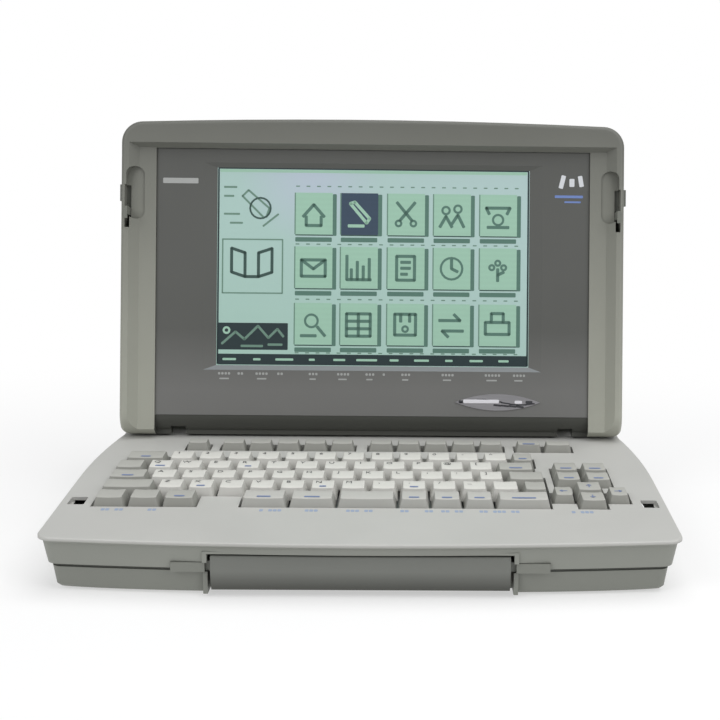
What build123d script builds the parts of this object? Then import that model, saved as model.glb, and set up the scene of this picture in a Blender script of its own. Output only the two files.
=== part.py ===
from build123d import *
import math
import os

# A portable electronic word processor: a low keyboard body, a display lid that closes over the keys, a
# thermal printer in the raised section behind the lid, and a carrying handle that pulls out of the front.
# The machine stands open on its rubber feet. X runs to the right, Y to the back and Z up, in millimetres.
# The origin lies on the table, under the middle of the body.

os.makedirs("parts", exist_ok=True)

# ---------------------------------------------------------------- driving dimensions
# Body
BODY_WIDTH = 335.0  # lid and rear section
BODY_DEPTH = 296.0
DECK_WIDTH = 352.0  # the keyboard deck flares out beyond the lid
DECK_BOW = 9.0  # how far the deck's front corners lie behind its middle
DECK_FRONT_HEIGHT = 32.5
DECK_SLOPE = 3.0  # degrees, rising to the back
DECK_CORNER = 9.0
FLARE_START = 110.0  # behind this the flanks curve in to the lid's width
DECK_SKIN = 2.0
DECK_EDGE = 1.0  # round along the deck's upper edge
RIM_DEPTH = 3.9  # deck surface to the lower edge of the rim
WALL = 2.5
FOOT_HEIGHT = 2.0
PARTING_LOW = 14.4  # top of the lower case's shoulder
PARTING_HIGH = 16.6  # bottom of the upper case; the groove between shows as the parting line
TONGUE_TOP = 19.0
REAR_TOP = 63.0
REAR_CORNER = 8.0
REAR_EDGE = 3.0
FIT = 0.2  # clearance between plastic parts that slide or drop in
# How far each level of the walls stands inside the deck's outline
FLOOR_INSET = 8.4
SHOULDER_INSET = 6.6
TONGUE_INSET = 7.4
PARTING_INSET = 4.5
RIM_INSET = 2.2
DECK_INSET = 0.3
CROWN_INSET = 1.8

# Display lid
HINGE_SETBACK = 200.0  # along the deck, from its front edge
HINGE_HEIGHT = 15.0  # above the deck
LID_LEAN = 11.2  # degrees behind upright, as the machine stands
LID_BARREL = 14.0  # radius of the rounded lower end about the hinge axis
LID_BACK = 6.0  # hinge axis to the lid's back face
LID_FACE = 14.0  # hinge axis to the face of the side rails
LID_TOP = 197.0  # hinge axis to the top edge, at the middle
LID_ARCH = 3.3
LID_CORNER = 14.0
LID_FOOT_CORNER = 6.5
LID_SPLIT = 1.0  # the back shell ends here and the front frame begins
LID_ROUND = 3.0
RAIL_FACE = 9.0  # hinge axis to the strip inside the rails' slope
RAIL_STEP_X = 162.3  # top of that slope
RAIL_FOOT_X = 156.2  # and its foot
RIM_SLOPE = 2.8
PANEL_FACE = 7.5
PANEL_THICKNESS = 2.0
PANEL_WIDTH = 290.0
PANEL_TOP = 177.3
PANEL_BOTTOM = -1.0
PANEL_LEDGE = 3.0
BEZEL_SIDE = 8.6  # slope of the panel down to the glass, at the sides
BEZEL_END = 3.2  # and above and below
SCREEN_WIDTH = 209.4
SCREEN_HEIGHT = 132.3
SCREEN_BOTTOM = 32.6
GLASS = 1.4
BADGE_X = 84.0
BADGE_UP = 9.0
BADGE_LENGTH = 57.0
BADGE_HEIGHT = 11.0
BADGE_THICKNESS = 0.6

# Latches
LATCH_UP = 147.0  # hinge axis to the middle of the thumb recess
LATCH_X = 158.3
LATCH_RECESS_LENGTH = 35.0
LATCH_RECESS_WIDTH = 11.4
LATCH_RECESS = 1.4  # below the rails' lower strip
LATCH_THICKNESS = 3.0
LATCH_TRAVEL = 5.0
HOOK_X = 163.4
HOOK_UP = 133.0
HOOK_LENGTH = 8.0
HOOK_SLOT_TOP = 152.0
HOOK_WIDTH = 2.6
HOOK_REACH = 5.6  # stands this far out of the rail, through the deck
NOTCH_WIDTH = 9.6
NOTCH_OUTWARD = 3.1  # the notch runs out beyond the hook
NOTCH_LENGTH = 12.5

# Keyboard
KEY_PITCH = 18.0
ROW_PITCH = 18.5
KEY_GAP = 1.0
KEY_RISE = 5.0  # key top above the deck
KEY_SKIRT = 2.5  # key's lower edge below the deck
KEY_LEAN = 2.0  # each side of the top stands in by this much
KEYBOARD_LEFT = -157.0
FRONT_ROW = 57.5  # front edge of the first row, behind the deck's front edge
FUNCTION_ROW = 164.5
FUNCTION_DEPTH = 13.0
WELL_GAP = 0.8  # between the keys and the deck round them
STEM = 4.0
STEM_HOLE = 4.5
STEM_END = 6.3  # below the deck
PLATE_DEPTH = 5.5  # the keyboard plate's top, below the deck
PLATE_THICKNESS = 1.2
TRAY_DEPTH = 9.9
TRAY_SHEET = 1.0
MEMBRANE = 0.8

# Carrying handle
GRIP_WIDTH = 162.0
GRIP_DEPTH = 12.5
GRIP_BOTTOM = 4.3
GRIP_TOP = 24.4
GRIP_SETBACK = 3.4  # behind the deck's front edge
ALCOVE_GAP = 2.0
STRAP_X = 93.5
STRAP_WIDTH = 18.4
STRAP_HEIGHT = 5.4
STRAP_BOTTOM = 14.9
STRAP_SETBACK = 5.6
HANDLE_TRAVEL = 30.0
STRAP_LENGTH = HANDLE_TRAVEL + 20.0  # what stays inside when the handle is out

# Printer
PLATEN_Y = 110.0
PLATEN_Z = 40.0
PLATEN_RADIUS = 9.0
PLATEN_LENGTH = 222.0
SHAFT = 6.0  # platen shaft
RUNNING = 0.05  # radial clearance of a shaft in its bearing
SIDE_PLATE_X = 130.0
SHEET = 1.5
FRAME_FRONT = 77.0
FRAME_BACK = 139.0
FRAME_TOP = 52.0
CHASSIS_Z = 6.0
GUIDE = 8.0
GUIDE_Y = 88.0
GUIDE_Z = 24.0
CARRIAGE_TRAVEL = 168.0
CARRIAGE_HOME = -CARRIAGE_TRAVEL / 2
CARRIAGE_WIDTH = 44.0
GEAR_MODULE = 0.8
PLATEN_TEETH = 36
PINION_TEETH = 12
GEAR_FACE = 6.0
GEAR_X = 133.5
BUSH = 10.0
KNOB_RADIUS = 11.0
KNOB_LENGTH = 9.0
MOTOR_RADIUS = 12.0
MOTOR_LENGTH = 15.0
BELT_Y = 78.0
BELT_Z = 17.0
BELT_WIDTH = 3.0
BELT_THICKNESS = 1.0
PULLEY_RADIUS = 4.5
PULLEY_X = 116.0
COVER_WIDTH = 252.0
COVER_FRONT = 73.0
COVER_THICKNESS = 3.0
COVER_PIN_Y = 118.0
COVER_PIN = 2.4
SLOT_WIDTH = 230.0
SLOT_FRONT = 124.0
SLOT_DEPTH = 6.0

# Electronics and small controls
DRIVE_FRONT = -76.0  # the floppy drive lies across, its mouth in the right-hand wall
DRIVE_WIDTH = 101.6
DRIVE_DEPTH = 136.0
DRIVE_BOTTOM = 6.0
DRIVE_HEIGHT = 17.0
BEZEL_FACE = 165.4
BOARD_WIDTH = 158.0
BOARD_DEPTH = 120.0
BOARD_X = -66.5
BOARD_Y = -3.0
BOARD_Z = 8.0
BOARD = 1.6
SWITCH_Y = 86.0
SWITCH_Z = 50.0
SWITCH_TRAVEL = 5.0
DIAL_Y = 84.0
DIAL_Z = 50.0
DIAL_RADIUS = 10.0
DIAL_THICKNESS = 4.0
DIAL_PIN = 3.0
JACK_X = -140.0
JACK_Z = 27.0
SCREW_PLACES = [(-155, -122), (155, -122), (-153.5, 38), (-153.5, 130), (153.5, 130)]
SCREW_RADIUS = 1.3
FOOT_PLACES = [(-140, -112), (140, -112), (-140, 126), (140, 126)]
FOOT_RADIUS = 8.0

# ---------------------------------------------------------------- derived places
FRONT = -BODY_DEPTH / 2
REAR = BODY_DEPTH / 2
SLOPE = math.radians(DECK_SLOPE)
LEAN = math.radians(LID_LEAN)
UPWARD = (0, -math.sin(SLOPE), math.cos(SLOPE))
# On the deck's plane x runs to the right and y back along the deck, from its front edge.
DECK = Plane(origin=(0, FRONT, DECK_FRONT_HEIGHT), x_dir=(1, 0, 0), z_dir=UPWARD)
HINGE = DECK.from_local_coords(Vector(0, HINGE_SETBACK, HINGE_HEIGHT))
# On the lid's plane x runs to the right, y up the lid, and the normal points at the person typing.
FACING = (0, -math.cos(LEAN), math.sin(LEAN))
LID = Plane(origin=HINGE, x_dir=(1, 0, 0), z_dir=FACING)
# The lid's section seen from its left: x up the lid, y towards the person typing.
LID_SIDE = Plane(origin=HINGE, x_dir=(0, math.sin(LEAN), math.cos(LEAN)), z_dir=(1, 0, 0))
REAR_WALL = HINGE.Y + LID_BARREL + 1.0  # front face of the rear section
REAR_INNER = REAR_WALL + WALL
DECK_LENGTH = (REAR_WALL - FRONT) / math.cos(SLOPE)
RIM_REAR = DECK_FRONT_HEIGHT + (REAR_WALL - FRONT) * math.tan(SLOPE)  # deck height at the rear section
FLOOR = FOOT_HEIGHT + WALL
CEILING = REAR_TOP - WALL
SIDE = BODY_WIDTH / 2
GRIP_Y = FRONT + GRIP_SETBACK
ALCOVE_X = GRIP_WIDTH / 2 + ALCOVE_GAP
ALCOVE_Y = GRIP_Y + GRIP_DEPTH + ALCOVE_GAP
ALCOVE_TOP = GRIP_TOP + 1.0
STRAP_Y = FRONT + STRAP_SETBACK
STRAP_TOP = STRAP_BOTTOM + STRAP_HEIGHT
GEAR_DISTANCE = GEAR_MODULE * (PLATEN_TEETH + PINION_TEETH) / 2
PINION_Y = PLATEN_Y + GEAR_DISTANCE * math.cos(math.radians(45))
PINION_Z = PLATEN_Z - GEAR_DISTANCE * math.sin(math.radians(45))
PLATE_TOP_ON_TRAY = PLATE_DEPTH + PLATE_THICKNESS


def save(part, name):
    """Labels a finished piece and writes it."""
    part.label = name
    export_step(part, f"parts/{name}.step")


def level(height):
    """The horizontal plane at a height, with the same x and y as the deck's plane."""
    return Plane((0, FRONT, height))


def block(x, y, z, mode=Mode.ADD):
    """A plain block between two corners."""
    with Locations(((x[0] + x[1]) / 2, (y[0] + y[1]) / 2, (z[0] + z[1]) / 2)):
        Box(x[1] - x[0], y[1] - y[0], z[1] - z[0], mode=mode)


def slab(plane, x, y, depth, mode=Mode.ADD, radius=0.0):
    """A rectangle on a plane, between two corners, pushed out along the plane's normal."""
    with BuildSketch(plane, mode=Mode.PRIVATE) as face:
        with Locations(((x[0] + x[1]) / 2, (y[0] + y[1]) / 2)):
            if radius:
                RectangleRounded(x[1] - x[0], y[1] - y[0], radius)
            else:
                Rectangle(x[1] - x[0], y[1] - y[0])
    extrude(face.sketch, amount=depth, mode=mode)


def rod(plane, centre, radius, depth, mode=Mode.ADD):
    """A round bar standing on a plane."""
    with BuildSketch(plane, mode=Mode.PRIVATE) as face:
        with Locations(centre):
            Circle(radius)
    extrude(face.sketch, amount=depth, mode=mode)


def across(x):
    """The plane that looks along the machine's width: its x is Y and its y is Z."""
    return Plane((x, 0, 0), x_dir=(0, 1, 0), z_dir=(1, 0, 0))


def deck_outline(inset=0.0, length=DECK_LENGTH, rear_corner=0.0):
    """The deck's plan: bowed front, and straight flanks that curve in to the lid's width at the hinge."""
    wide, narrow = DECK_WIDTH / 2 - inset, SIDE - inset
    with BuildSketch(mode=Mode.PRIVATE) as outline:
        with BuildLine():
            ThreePointArc((-wide, DECK_BOW + inset), (0, inset), (wide, DECK_BOW + inset))
            for side in (1, -1):
                Line((side * wide, DECK_BOW + inset), (side * wide, FLARE_START))
                TangentArc((side * wide, FLARE_START), (side * narrow, HINGE_SETBACK), tangent=(0, 1))
                Line((side * narrow, HINGE_SETBACK), (side * narrow, length))
            Line((-narrow, length), (narrow, length))
        make_face()
        fillet(outline.vertices().group_by(Axis.Y)[0], max(DECK_CORNER - inset / 2, 2.0))
        if rear_corner:
            fillet(outline.vertices().group_by(Axis.Y)[-1], rear_corner)
    return outline.sketch


def rear_outline(inset, front):
    """The rear section's plan: square at the front, round at its two back corners."""
    back = BODY_DEPTH - inset + DECK_INSET
    start = front - FRONT
    with BuildSketch(mode=Mode.PRIVATE) as outline:
        with Locations((0, (start + back) / 2)):
            Rectangle(2 * (SIDE - inset), back - start)
        fillet(outline.vertices().group_by(Axis.Y)[-1], REAR_CORNER - inset / 2)
    return outline.sketch


def lid_outline(inset=0.0, bottom=-LID_BARREL):
    """The lid seen from the front: straight sides, arched top and two round top corners."""
    half, top = SIDE - inset, LID_TOP - inset
    shoulder = top - LID_ARCH
    with BuildSketch(mode=Mode.PRIVATE) as outline:
        with BuildLine():
            Line((half, shoulder), (half, bottom))
            Line((half, bottom), (-half, bottom))
            Line((-half, bottom), (-half, shoulder))
            ThreePointArc((-half, shoulder), (0, top), (half, shoulder))
        make_face()
        fillet(outline.vertices().group_by(Axis.Y)[-1], LID_CORNER - inset)
    return outline.sketch


def lid_foot_corners():
    """What lies outside the lid's two round lower corners, seen from the front."""
    with BuildSketch(mode=Mode.PRIVATE) as corners:
        for side in (-1, 1):
            middle = (side * (SIDE - LID_FOOT_CORNER), LID_FOOT_CORNER - LID_BARREL)
            half = LID_FOOT_CORNER / 2 + 1
            with Locations((side * (SIDE - LID_FOOT_CORNER + half), middle[1] - half)):
                Rectangle(2 * half, 2 * half)
            with Locations(middle):
                Circle(LID_FOOT_CORNER, mode=Mode.SUBTRACT)
    return corners.sketch


def lid_profile(face, back, barrel):
    """The lid's section: flat face and back, with a round lower end about the hinge axis."""
    start = -math.sqrt(max(barrel**2 - face**2, 0.0))
    end = -math.sqrt(barrel**2 - back**2)
    with BuildSketch(mode=Mode.PRIVATE) as profile:
        with BuildLine():
            Line((LID_TOP + 5, face), (start, face))
            ThreePointArc((start, face), (-barrel * math.cos(0.5), barrel * math.sin(0.5)), (end, -back))
            Line((end, -back), (LID_TOP + 5, -back))
            Line((LID_TOP + 5, -back), (LID_TOP + 5, face))
        make_face()
    return profile.sketch


def side_extrusion(sketch, x, mode=Mode.ADD):
    """A section of the lid, run from one x to another."""
    placed = Plane(HINGE + Vector(x[0], 0, 0), x_dir=LID_SIDE.x_dir, z_dir=(1, 0, 0)) * sketch
    extrude(placed, amount=x[1] - x[0], mode=mode)


# ---------------------------------------------------------------- keyboard layout
# Each row: front edge, depth, and its groups of keys. A group is its left edge and its key widths in pitches.
def row_front(row):
    return FRONT_ROW + row * ROW_PITCH


COMMAND_KEYS = [(KEYBOARD_LEFT, [1.1, 1.1, 1.15]), (-72.4, [1.55, 1.55])]
SPACE_BAR = [(-16.6, [1.97])]
CONVERT_KEYS = [(18.9, [1.06, 1.06, 1.04, 1.83])]
LEFT_SHIFT = [(KEYBOARD_LEFT, [1.8])]
LOWER_KEYS = [(-124.6, [1.0] * 11 + [1.05])]
RIGHT_SHIFT = [(92.3, [0.93])]
HOME_KEYS = [(KEYBOARD_LEFT, [1.4] + [1.0] * 12)]
RETURN_KEY = [(84.2, [1.38])]
UPPER_KEYS = [(KEYBOARD_LEFT, [1.1] + [1.0] * 12 + [1.4])]
NUMBER_KEYS = [(-154.0, [1.5] + [1.0] * 12 + [0.9])]
FUNCTION_KEYS = [
    (-121.0, [0.92]),
    (-98.4, [0.985] * 5),
    (-2.3, [1.0] * 5),
    (94.0, [1.05, 1.1]),
]
EDIT_LEFT = 113.5
CURSOR_X = 132.8
CURSOR_SIDE_WIDTH = 0.8


def key_places(groups, front, depth):
    """The middle and size of each key in a row."""
    for left, widths in groups:
        for width in widths:
            yield (left + width * KEY_PITCH / 2, front + depth / 2), width * KEY_PITCH, depth
            left += width * KEY_PITCH


KEY_ROWS = {
    "command_keys": list(key_places(COMMAND_KEYS + CONVERT_KEYS, row_front(0), ROW_PITCH)),
    "space_bar": list(key_places(SPACE_BAR, row_front(0), ROW_PITCH)),
    "left_shift_key": list(key_places(LEFT_SHIFT, row_front(1), ROW_PITCH)),
    "lower_letter_keys": list(key_places(LOWER_KEYS, row_front(1), ROW_PITCH)),
    "right_shift_key": list(key_places(RIGHT_SHIFT, row_front(1), ROW_PITCH)),
    "home_letter_keys": list(key_places(HOME_KEYS, row_front(2), ROW_PITCH)),
    "return_key": list(key_places(RETURN_KEY, row_front(2), ROW_PITCH)),
    "upper_letter_keys": list(key_places(UPPER_KEYS, row_front(3), ROW_PITCH)),
    "number_keys": list(key_places(NUMBER_KEYS, row_front(4), ROW_PITCH)),
    "function_keys": list(key_places(FUNCTION_KEYS, FUNCTION_ROW, FUNCTION_DEPTH)),
    "edit_keys": [
        place
        for row in (2, 3)
        for place in key_places([(EDIT_LEFT, [1.0, 1.0])], row_front(row), ROW_PITCH)
    ],
    "cursor_up_key": [((CURSOR_X, row_front(1.5)), KEY_PITCH, ROW_PITCH)],
    "cursor_down_key": [((CURSOR_X, row_front(0.5)), KEY_PITCH, ROW_PITCH)],
    "cursor_left_key": [
        ((CURSOR_X - 0.9 * KEY_PITCH, row_front(1)), CURSOR_SIDE_WIDTH * KEY_PITCH, ROW_PITCH)
    ],
    "cursor_right_key": [
        ((CURSOR_X + 0.9 * KEY_PITCH, row_front(1)), CURSOR_SIDE_WIDTH * KEY_PITCH, ROW_PITCH)
    ],
}
ALL_KEYS = [key for row in KEY_ROWS.values() for key in row]


def stem_offsets(width):
    """A key has one stem in its middle; a wide bar is guided by one near each end."""
    return (0.0,) if width < 2 * KEY_PITCH - 3 else (-width / 4, width / 4)


def key_holes(gap):
    """The keys' footprints with a gap round them, merged into the openings of the keyboard."""
    with BuildSketch(mode=Mode.PRIVATE) as holes:
        for place, width, depth in ALL_KEYS:
            with Locations(place):
                Rectangle(width - KEY_GAP + 2 * gap, depth - KEY_GAP + 2 * gap)
    return holes.sketch


WELL = key_holes(WELL_GAP)
WELL_LIP = 1.4

# ---------------------------------------------------------------- lower case
with BuildPart() as lower_case:
    for height, inset in ((FOOT_HEIGHT, FLOOR_INSET), (PARTING_LOW, SHOULDER_INSET)):
        with BuildSketch(level(height)):
            add(deck_outline(inset, BODY_DEPTH - inset, REAR_CORNER - 2))
    loft(ruled=True)
    chamfer(lower_case.faces().sort_by(Axis.Z)[0].edges(), 1.6)
    with BuildSketch(level(PARTING_LOW)):
        add(deck_outline(TONGUE_INSET, BODY_DEPTH - TONGUE_INSET, REAR_CORNER - 3))
    extrude(amount=TONGUE_TOP - PARTING_LOW)
    with BuildSketch(level(FLOOR)):
        add(deck_outline(TONGUE_INSET + 1.6, BODY_DEPTH - TONGUE_INSET - 1.6, REAR_CORNER - 4))
    extrude(amount=TONGUE_TOP, mode=Mode.SUBTRACT)
    # The alcove for the handle, with a wall behind it
    block((-ALCOVE_X - WALL, ALCOVE_X + WALL), (FRONT + 7, ALCOVE_Y + WALL), (FOOT_HEIGHT, TONGUE_TOP))
    block((-ALCOVE_X, ALCOVE_X), (FRONT, ALCOVE_Y), (0, TONGUE_TOP + 1), Mode.SUBTRACT)
    # The arms of the handle run out through the tongue, on ribs that stand on the floor
    for side in (-1, 1):
        arm = (side * STRAP_X - STRAP_WIDTH / 2 - FIT, side * STRAP_X + STRAP_WIDTH / 2 + FIT)
        block(arm, (FRONT, ALCOVE_Y + 6), (STRAP_BOTTOM - FIT, TONGUE_TOP + 1), Mode.SUBTRACT)
        link = sorted((side * (ALCOVE_X - 1), side * STRAP_X))
        block((link[0], link[1]), (FRONT, ALCOVE_Y), (STRAP_BOTTOM - FIT, TONGUE_TOP + 1), Mode.SUBTRACT)
        for rib_y in (FRONT + 26, STRAP_Y + STRAP_LENGTH - 10):
            block(
                (side * STRAP_X - STRAP_WIDTH / 2 - WALL, side * STRAP_X + STRAP_WIDTH / 2 + WALL),
                (rib_y, rib_y + 2),
                (FLOOR, STRAP_BOTTOM),
            )
            for edge in (-1, 1):
                guide = side * STRAP_X + edge * (STRAP_WIDTH / 2 + FIT + WALL / 2)
                block((guide - 1, guide + 1), (rib_y, rib_y + 2), (STRAP_BOTTOM, STRAP_TOP))
    # Bosses for the case screws, the main board, the drive and the printer
    with Locations(*[(x, y, FLOOR) for x, y in SCREW_PLACES]):
        Cylinder(4.0, PARTING_LOW - FLOOR, align=(Align.CENTER, Align.CENTER, Align.MIN))
    board_corners = [
        (BOARD_X + sx * (BOARD_WIDTH / 2 - 6), BOARD_Y + sy * (BOARD_DEPTH / 2 - 6))
        for sx in (-1, 1)
        for sy in (-1, 1)
    ]
    with Locations(*[(x, y, FLOOR) for x, y in board_corners]):
        Cylinder(3.0, BOARD_Z - FLOOR, align=(Align.CENTER, Align.CENTER, Align.MIN))
    drive_right = BEZEL_FACE - 6
    for x in (drive_right - DRIVE_DEPTH + 8, drive_right - 12):
        for y in (DRIVE_FRONT + 8, DRIVE_FRONT + DRIVE_WIDTH - 8):
            with Locations((x, y, FLOOR)):
                Cylinder(3.0, DRIVE_BOTTOM - FLOOR, align=(Align.CENTER, Align.CENTER, Align.MIN))
    for x in (-SIDE_PLATE_X + 10, 0, SIDE_PLATE_X - 10):
        for y in (FRAME_FRONT + 6, FRAME_BACK - 6):
            with Locations((x, y, FLOOR)):
                Cylinder(3.0, CHASSIS_Z - FLOOR, align=(Align.CENTER, Align.CENTER, Align.MIN))
    # Screw holes with sunk heads, from below
    with Locations(*[(x, y, FOOT_HEIGHT) for x, y in SCREW_PLACES]):
        Cylinder(1.6, 30, mode=Mode.SUBTRACT)
        Cylinder(3.2, 3.2, mode=Mode.SUBTRACT)
    # Window for the disk drive in the right-hand wall
    block(
        (SIDE - 9, SIDE + 20),
        (DRIVE_FRONT - 0.4, DRIVE_FRONT + DRIVE_WIDTH + 0.4),
        (DRIVE_BOTTOM + 2, TONGUE_TOP + 1),
        Mode.SUBTRACT,
    )
    # Air slots in the floor, under the main board
    with Locations((BOARD_X, BOARD_Y, FOOT_HEIGHT)):
        with GridLocations(9, 0, 9, 1):
            Box(3, 46, 12, mode=Mode.SUBTRACT)
save(lower_case.part, "lower_case")

# ---------------------------------------------------------------- upper case
WALL_LEVELS = [
    (level(PARTING_HIGH), PARTING_INSET),
    (DECK.offset(-RIM_DEPTH), RIM_INSET),
    (DECK.offset(-DECK_SKIN), DECK_INSET),
]
REAR_LEVELS = [
    (PARTING_HIGH, PARTING_INSET),
    (RIM_REAR - RIM_DEPTH, RIM_INSET),
    (RIM_REAR - DECK_SKIN, DECK_INSET),
]
RING_WALL = 2.2
with BuildPart() as rear_cavity:
    for height, inset in REAR_LEVELS + [(CEILING, CROWN_INSET)]:
        with BuildSketch(level(height - (1 if height == PARTING_HIGH else 0))):
            add(rear_outline(inset + WALL, REAR_INNER))
    loft(ruled=True)

with BuildPart() as front_cavity:
    for plane, inset in WALL_LEVELS:
        with BuildSketch(plane.offset(-0.5 if plane is WALL_LEVELS[0][0] else 0)):
            add(deck_outline(inset + RING_WALL, DECK_LENGTH + 4))
    loft(ruled=True)
    with BuildSketch(DECK.offset(-DECK_SKIN)):
        add(deck_outline(DECK_INSET + RING_WALL, DECK_LENGTH + 4))
    extrude(amount=5)

# The walls round the keyboard end flat against the front of the rear section
with BuildPart() as front_walls:
    for plane, inset in WALL_LEVELS:
        with BuildSketch(plane):
            add(deck_outline(inset, DECK_LENGTH + 2))
    loft(ruled=True)
    add(front_cavity.part, mode=Mode.SUBTRACT)
    block((-SIDE - 20, SIDE + 20), (REAR_WALL, REAR_WALL + 20), (0, REAR_TOP), Mode.SUBTRACT)

with BuildPart() as upper_case:
    for height, inset in REAR_LEVELS + [(REAR_TOP, CROWN_INSET)]:
        with BuildSketch(level(height)):
            add(rear_outline(inset, REAR_WALL))
    loft(ruled=True)
    fillet(upper_case.faces().sort_by(Axis.Z)[-1].edges(), REAR_EDGE)
    add(rear_cavity.part, mode=Mode.SUBTRACT)
    add(front_walls.part)
    # The space below the deck runs on into the rear section
    passage = SIDE - PARTING_INSET - WALL
    under_deck = RIM_REAR - RIM_DEPTH - 3
    block((-passage, passage), (REAR_WALL - 6, REAR_INNER + 1), (0, under_deck), Mode.SUBTRACT)
    # The alcove for the handle: side walls, a wall behind and a ceiling
    block(
        (-ALCOVE_X - WALL, ALCOVE_X + WALL),
        (FRONT + 4.4, ALCOVE_Y + WALL),
        (PARTING_HIGH, ALCOVE_TOP + 1.4),
    )
    block((-ALCOVE_X, ALCOVE_X), (FRONT - 1, ALCOVE_Y), (0, ALCOVE_TOP), Mode.SUBTRACT)
    # The tongue of the lower case reaches up behind the alcove's wall
    block(
        (-ALCOVE_X - WALL - 1, ALCOVE_X + WALL + 1),
        (ALCOVE_Y - 0.1, ALCOVE_Y + WALL + 1),
        (PARTING_HIGH - 1, TONGUE_TOP + FIT),
        Mode.SUBTRACT,
    )
    for side in (-1, 1):
        beside = sorted((side * ALCOVE_X, side * (ALCOVE_X + WALL + 1)))
        block(
            (beside[0], beside[1]),
            (FRONT + 7 - FIT, ALCOVE_Y + 1),
            (PARTING_HIGH - 1, TONGUE_TOP + FIT),
            Mode.SUBTRACT,
        )
        arm = (side * STRAP_X - STRAP_WIDTH / 2 - FIT, side * STRAP_X + STRAP_WIDTH / 2 + FIT)
        block(arm, (FRONT, ALCOVE_Y + 8), (0, STRAP_TOP + FIT), Mode.SUBTRACT)
        inner = sorted((side * (ALCOVE_X - 1), side * (STRAP_X + STRAP_WIDTH / 2 + FIT)))
        block((inner[0], inner[1]), (FRONT, ALCOVE_Y + 8), (0, STRAP_TOP + FIT), Mode.SUBTRACT)
    # Printer cover opening, with an ear at each end for its pins
    cover_half = COVER_WIDTH / 2
    pin_z = REAR_TOP - COVER_THICKNESS / 2
    for side in (-1, 1):
        ear = sorted((side * (cover_half - 2), side * (cover_half + 4)))
        block((ear[0], ear[1]), (COVER_PIN_Y - 4, COVER_PIN_Y + 4), (pin_z - 3.5, REAR_TOP - 0.5))
    block(
        (-cover_half - 0.4, cover_half + 0.4),
        (COVER_FRONT - 0.4, COVER_PIN_Y + COVER_THICKNESS / 2 + 0.4),
        (CEILING - 8, REAR_TOP + 1),
        Mode.SUBTRACT,
    )
    rod(across(-cover_half - 3), (COVER_PIN_Y, pin_z), COVER_PIN / 2 + RUNNING, COVER_WIDTH + 6, Mode.SUBTRACT)
    # A ledge that the cover's front edge rests on
    block((-60, 60), (REAR_INNER, COVER_FRONT + 2.5), (CEILING - 3, REAR_TOP - COVER_THICKNESS - 0.1))
    # Paper slot
    slab(
        level(CEILING - 1),
        (-SLOT_WIDTH / 2, SLOT_WIDTH / 2),
        (SLOT_FRONT - FRONT, SLOT_FRONT + SLOT_DEPTH - FRONT),
        WALL + 4,
        Mode.SUBTRACT,
        radius=2.5,
    )
    # Air slots across the top, at both ends of the rear section
    for side in (-1, 1):
        with Locations((side * (cover_half + 17), COVER_FRONT + 36, REAR_TOP)):
            with GridLocations(0, 7, 1, 6):
                Box(22, 2.4, 12, mode=Mode.SUBTRACT)
    # Slots for the hinge brackets in the wall behind the lid
    for side in (-1, 1):
        arm = sorted((side * 125.5, side * 134.5))
        block((arm[0], arm[1]), (REAR_WALL - 1, REAR_INNER + 1), (HINGE.Z - 4.2, HINGE.Z + 2.9), Mode.SUBTRACT)
    # Feed knob hole, switch window and dial slot in the side walls
    rod(across(-SIDE - 3), (PLATEN_Y, PLATEN_Z), KNOB_RADIUS + 0.8, 12, Mode.SUBTRACT)
    block(
        (-SIDE - 3, -SIDE + 8),
        (SWITCH_Y - 4.5, SWITCH_Y + SWITCH_TRAVEL + 4.5),
        (SWITCH_Z - 4.3, SWITCH_Z + 4.3),
        Mode.SUBTRACT,
    )
    block(
        (SIDE - 8, SIDE + 3),
        (DIAL_Y - 8.8, DIAL_Y + 8.8),
        (DIAL_Z - DIAL_THICKNESS / 2 - 0.4, DIAL_Z + DIAL_THICKNESS / 2 + 0.4),
        Mode.SUBTRACT,
    )
    dial_x = SIDE - DIAL_RADIUS + 0.6
    with Locations((dial_x, DIAL_Y, CEILING + 0.5)):
        Cylinder(4, CEILING - DIAL_Z - DIAL_THICKNESS / 2 + 0.2, align=(Align.CENTER, Align.CENTER, Align.MAX))
        pin_length = CEILING - DIAL_Z + DIAL_THICKNESS / 2 + 1
        Cylinder(DIAL_PIN / 2, pin_length, align=(Align.CENTER, Align.CENTER, Align.MAX))
    # Power socket hole at the back and the drive's window at the right
    rod(Plane((0, REAR - 12, 0), x_dir=(1, 0, 0), z_dir=(0, 1, 0)), (JACK_X, -JACK_Z), 4.2, 14, Mode.SUBTRACT)
    block(
        (SIDE - 9, SIDE + 20),
        (DRIVE_FRONT - 0.4, DRIVE_FRONT + DRIVE_WIDTH + 0.4),
        (0, DRIVE_BOTTOM + DRIVE_HEIGHT - 0.6),
        Mode.SUBTRACT,
    )
    # Screw posts that reach down to the lower case
    for x, y in SCREW_PLACES:
        roof = CEILING + 0.5 if y > REAR_WALL else (y - FRONT) * math.tan(SLOPE) + DECK_FRONT_HEIGHT - 6
        with Locations((x, y, PARTING_LOW)):
            Cylinder(3.6, roof - PARTING_LOW, align=(Align.CENTER, Align.CENTER, Align.MIN))
        if y < REAR_WALL:
            toward = math.copysign(SIDE - 2.6 if y > 0 else DECK_WIDTH / 2 - 5.5, x)
            web = sorted((x, toward))
            block((web[0], web[1]), (y - 1, y + 1), (TONGUE_TOP + 1, roof))
        with Locations((x, y, PARTING_LOW)):
            Cylinder(SCREW_RADIUS, 2 * 10, mode=Mode.SUBTRACT)
save(upper_case.part, "upper_case")

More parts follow.
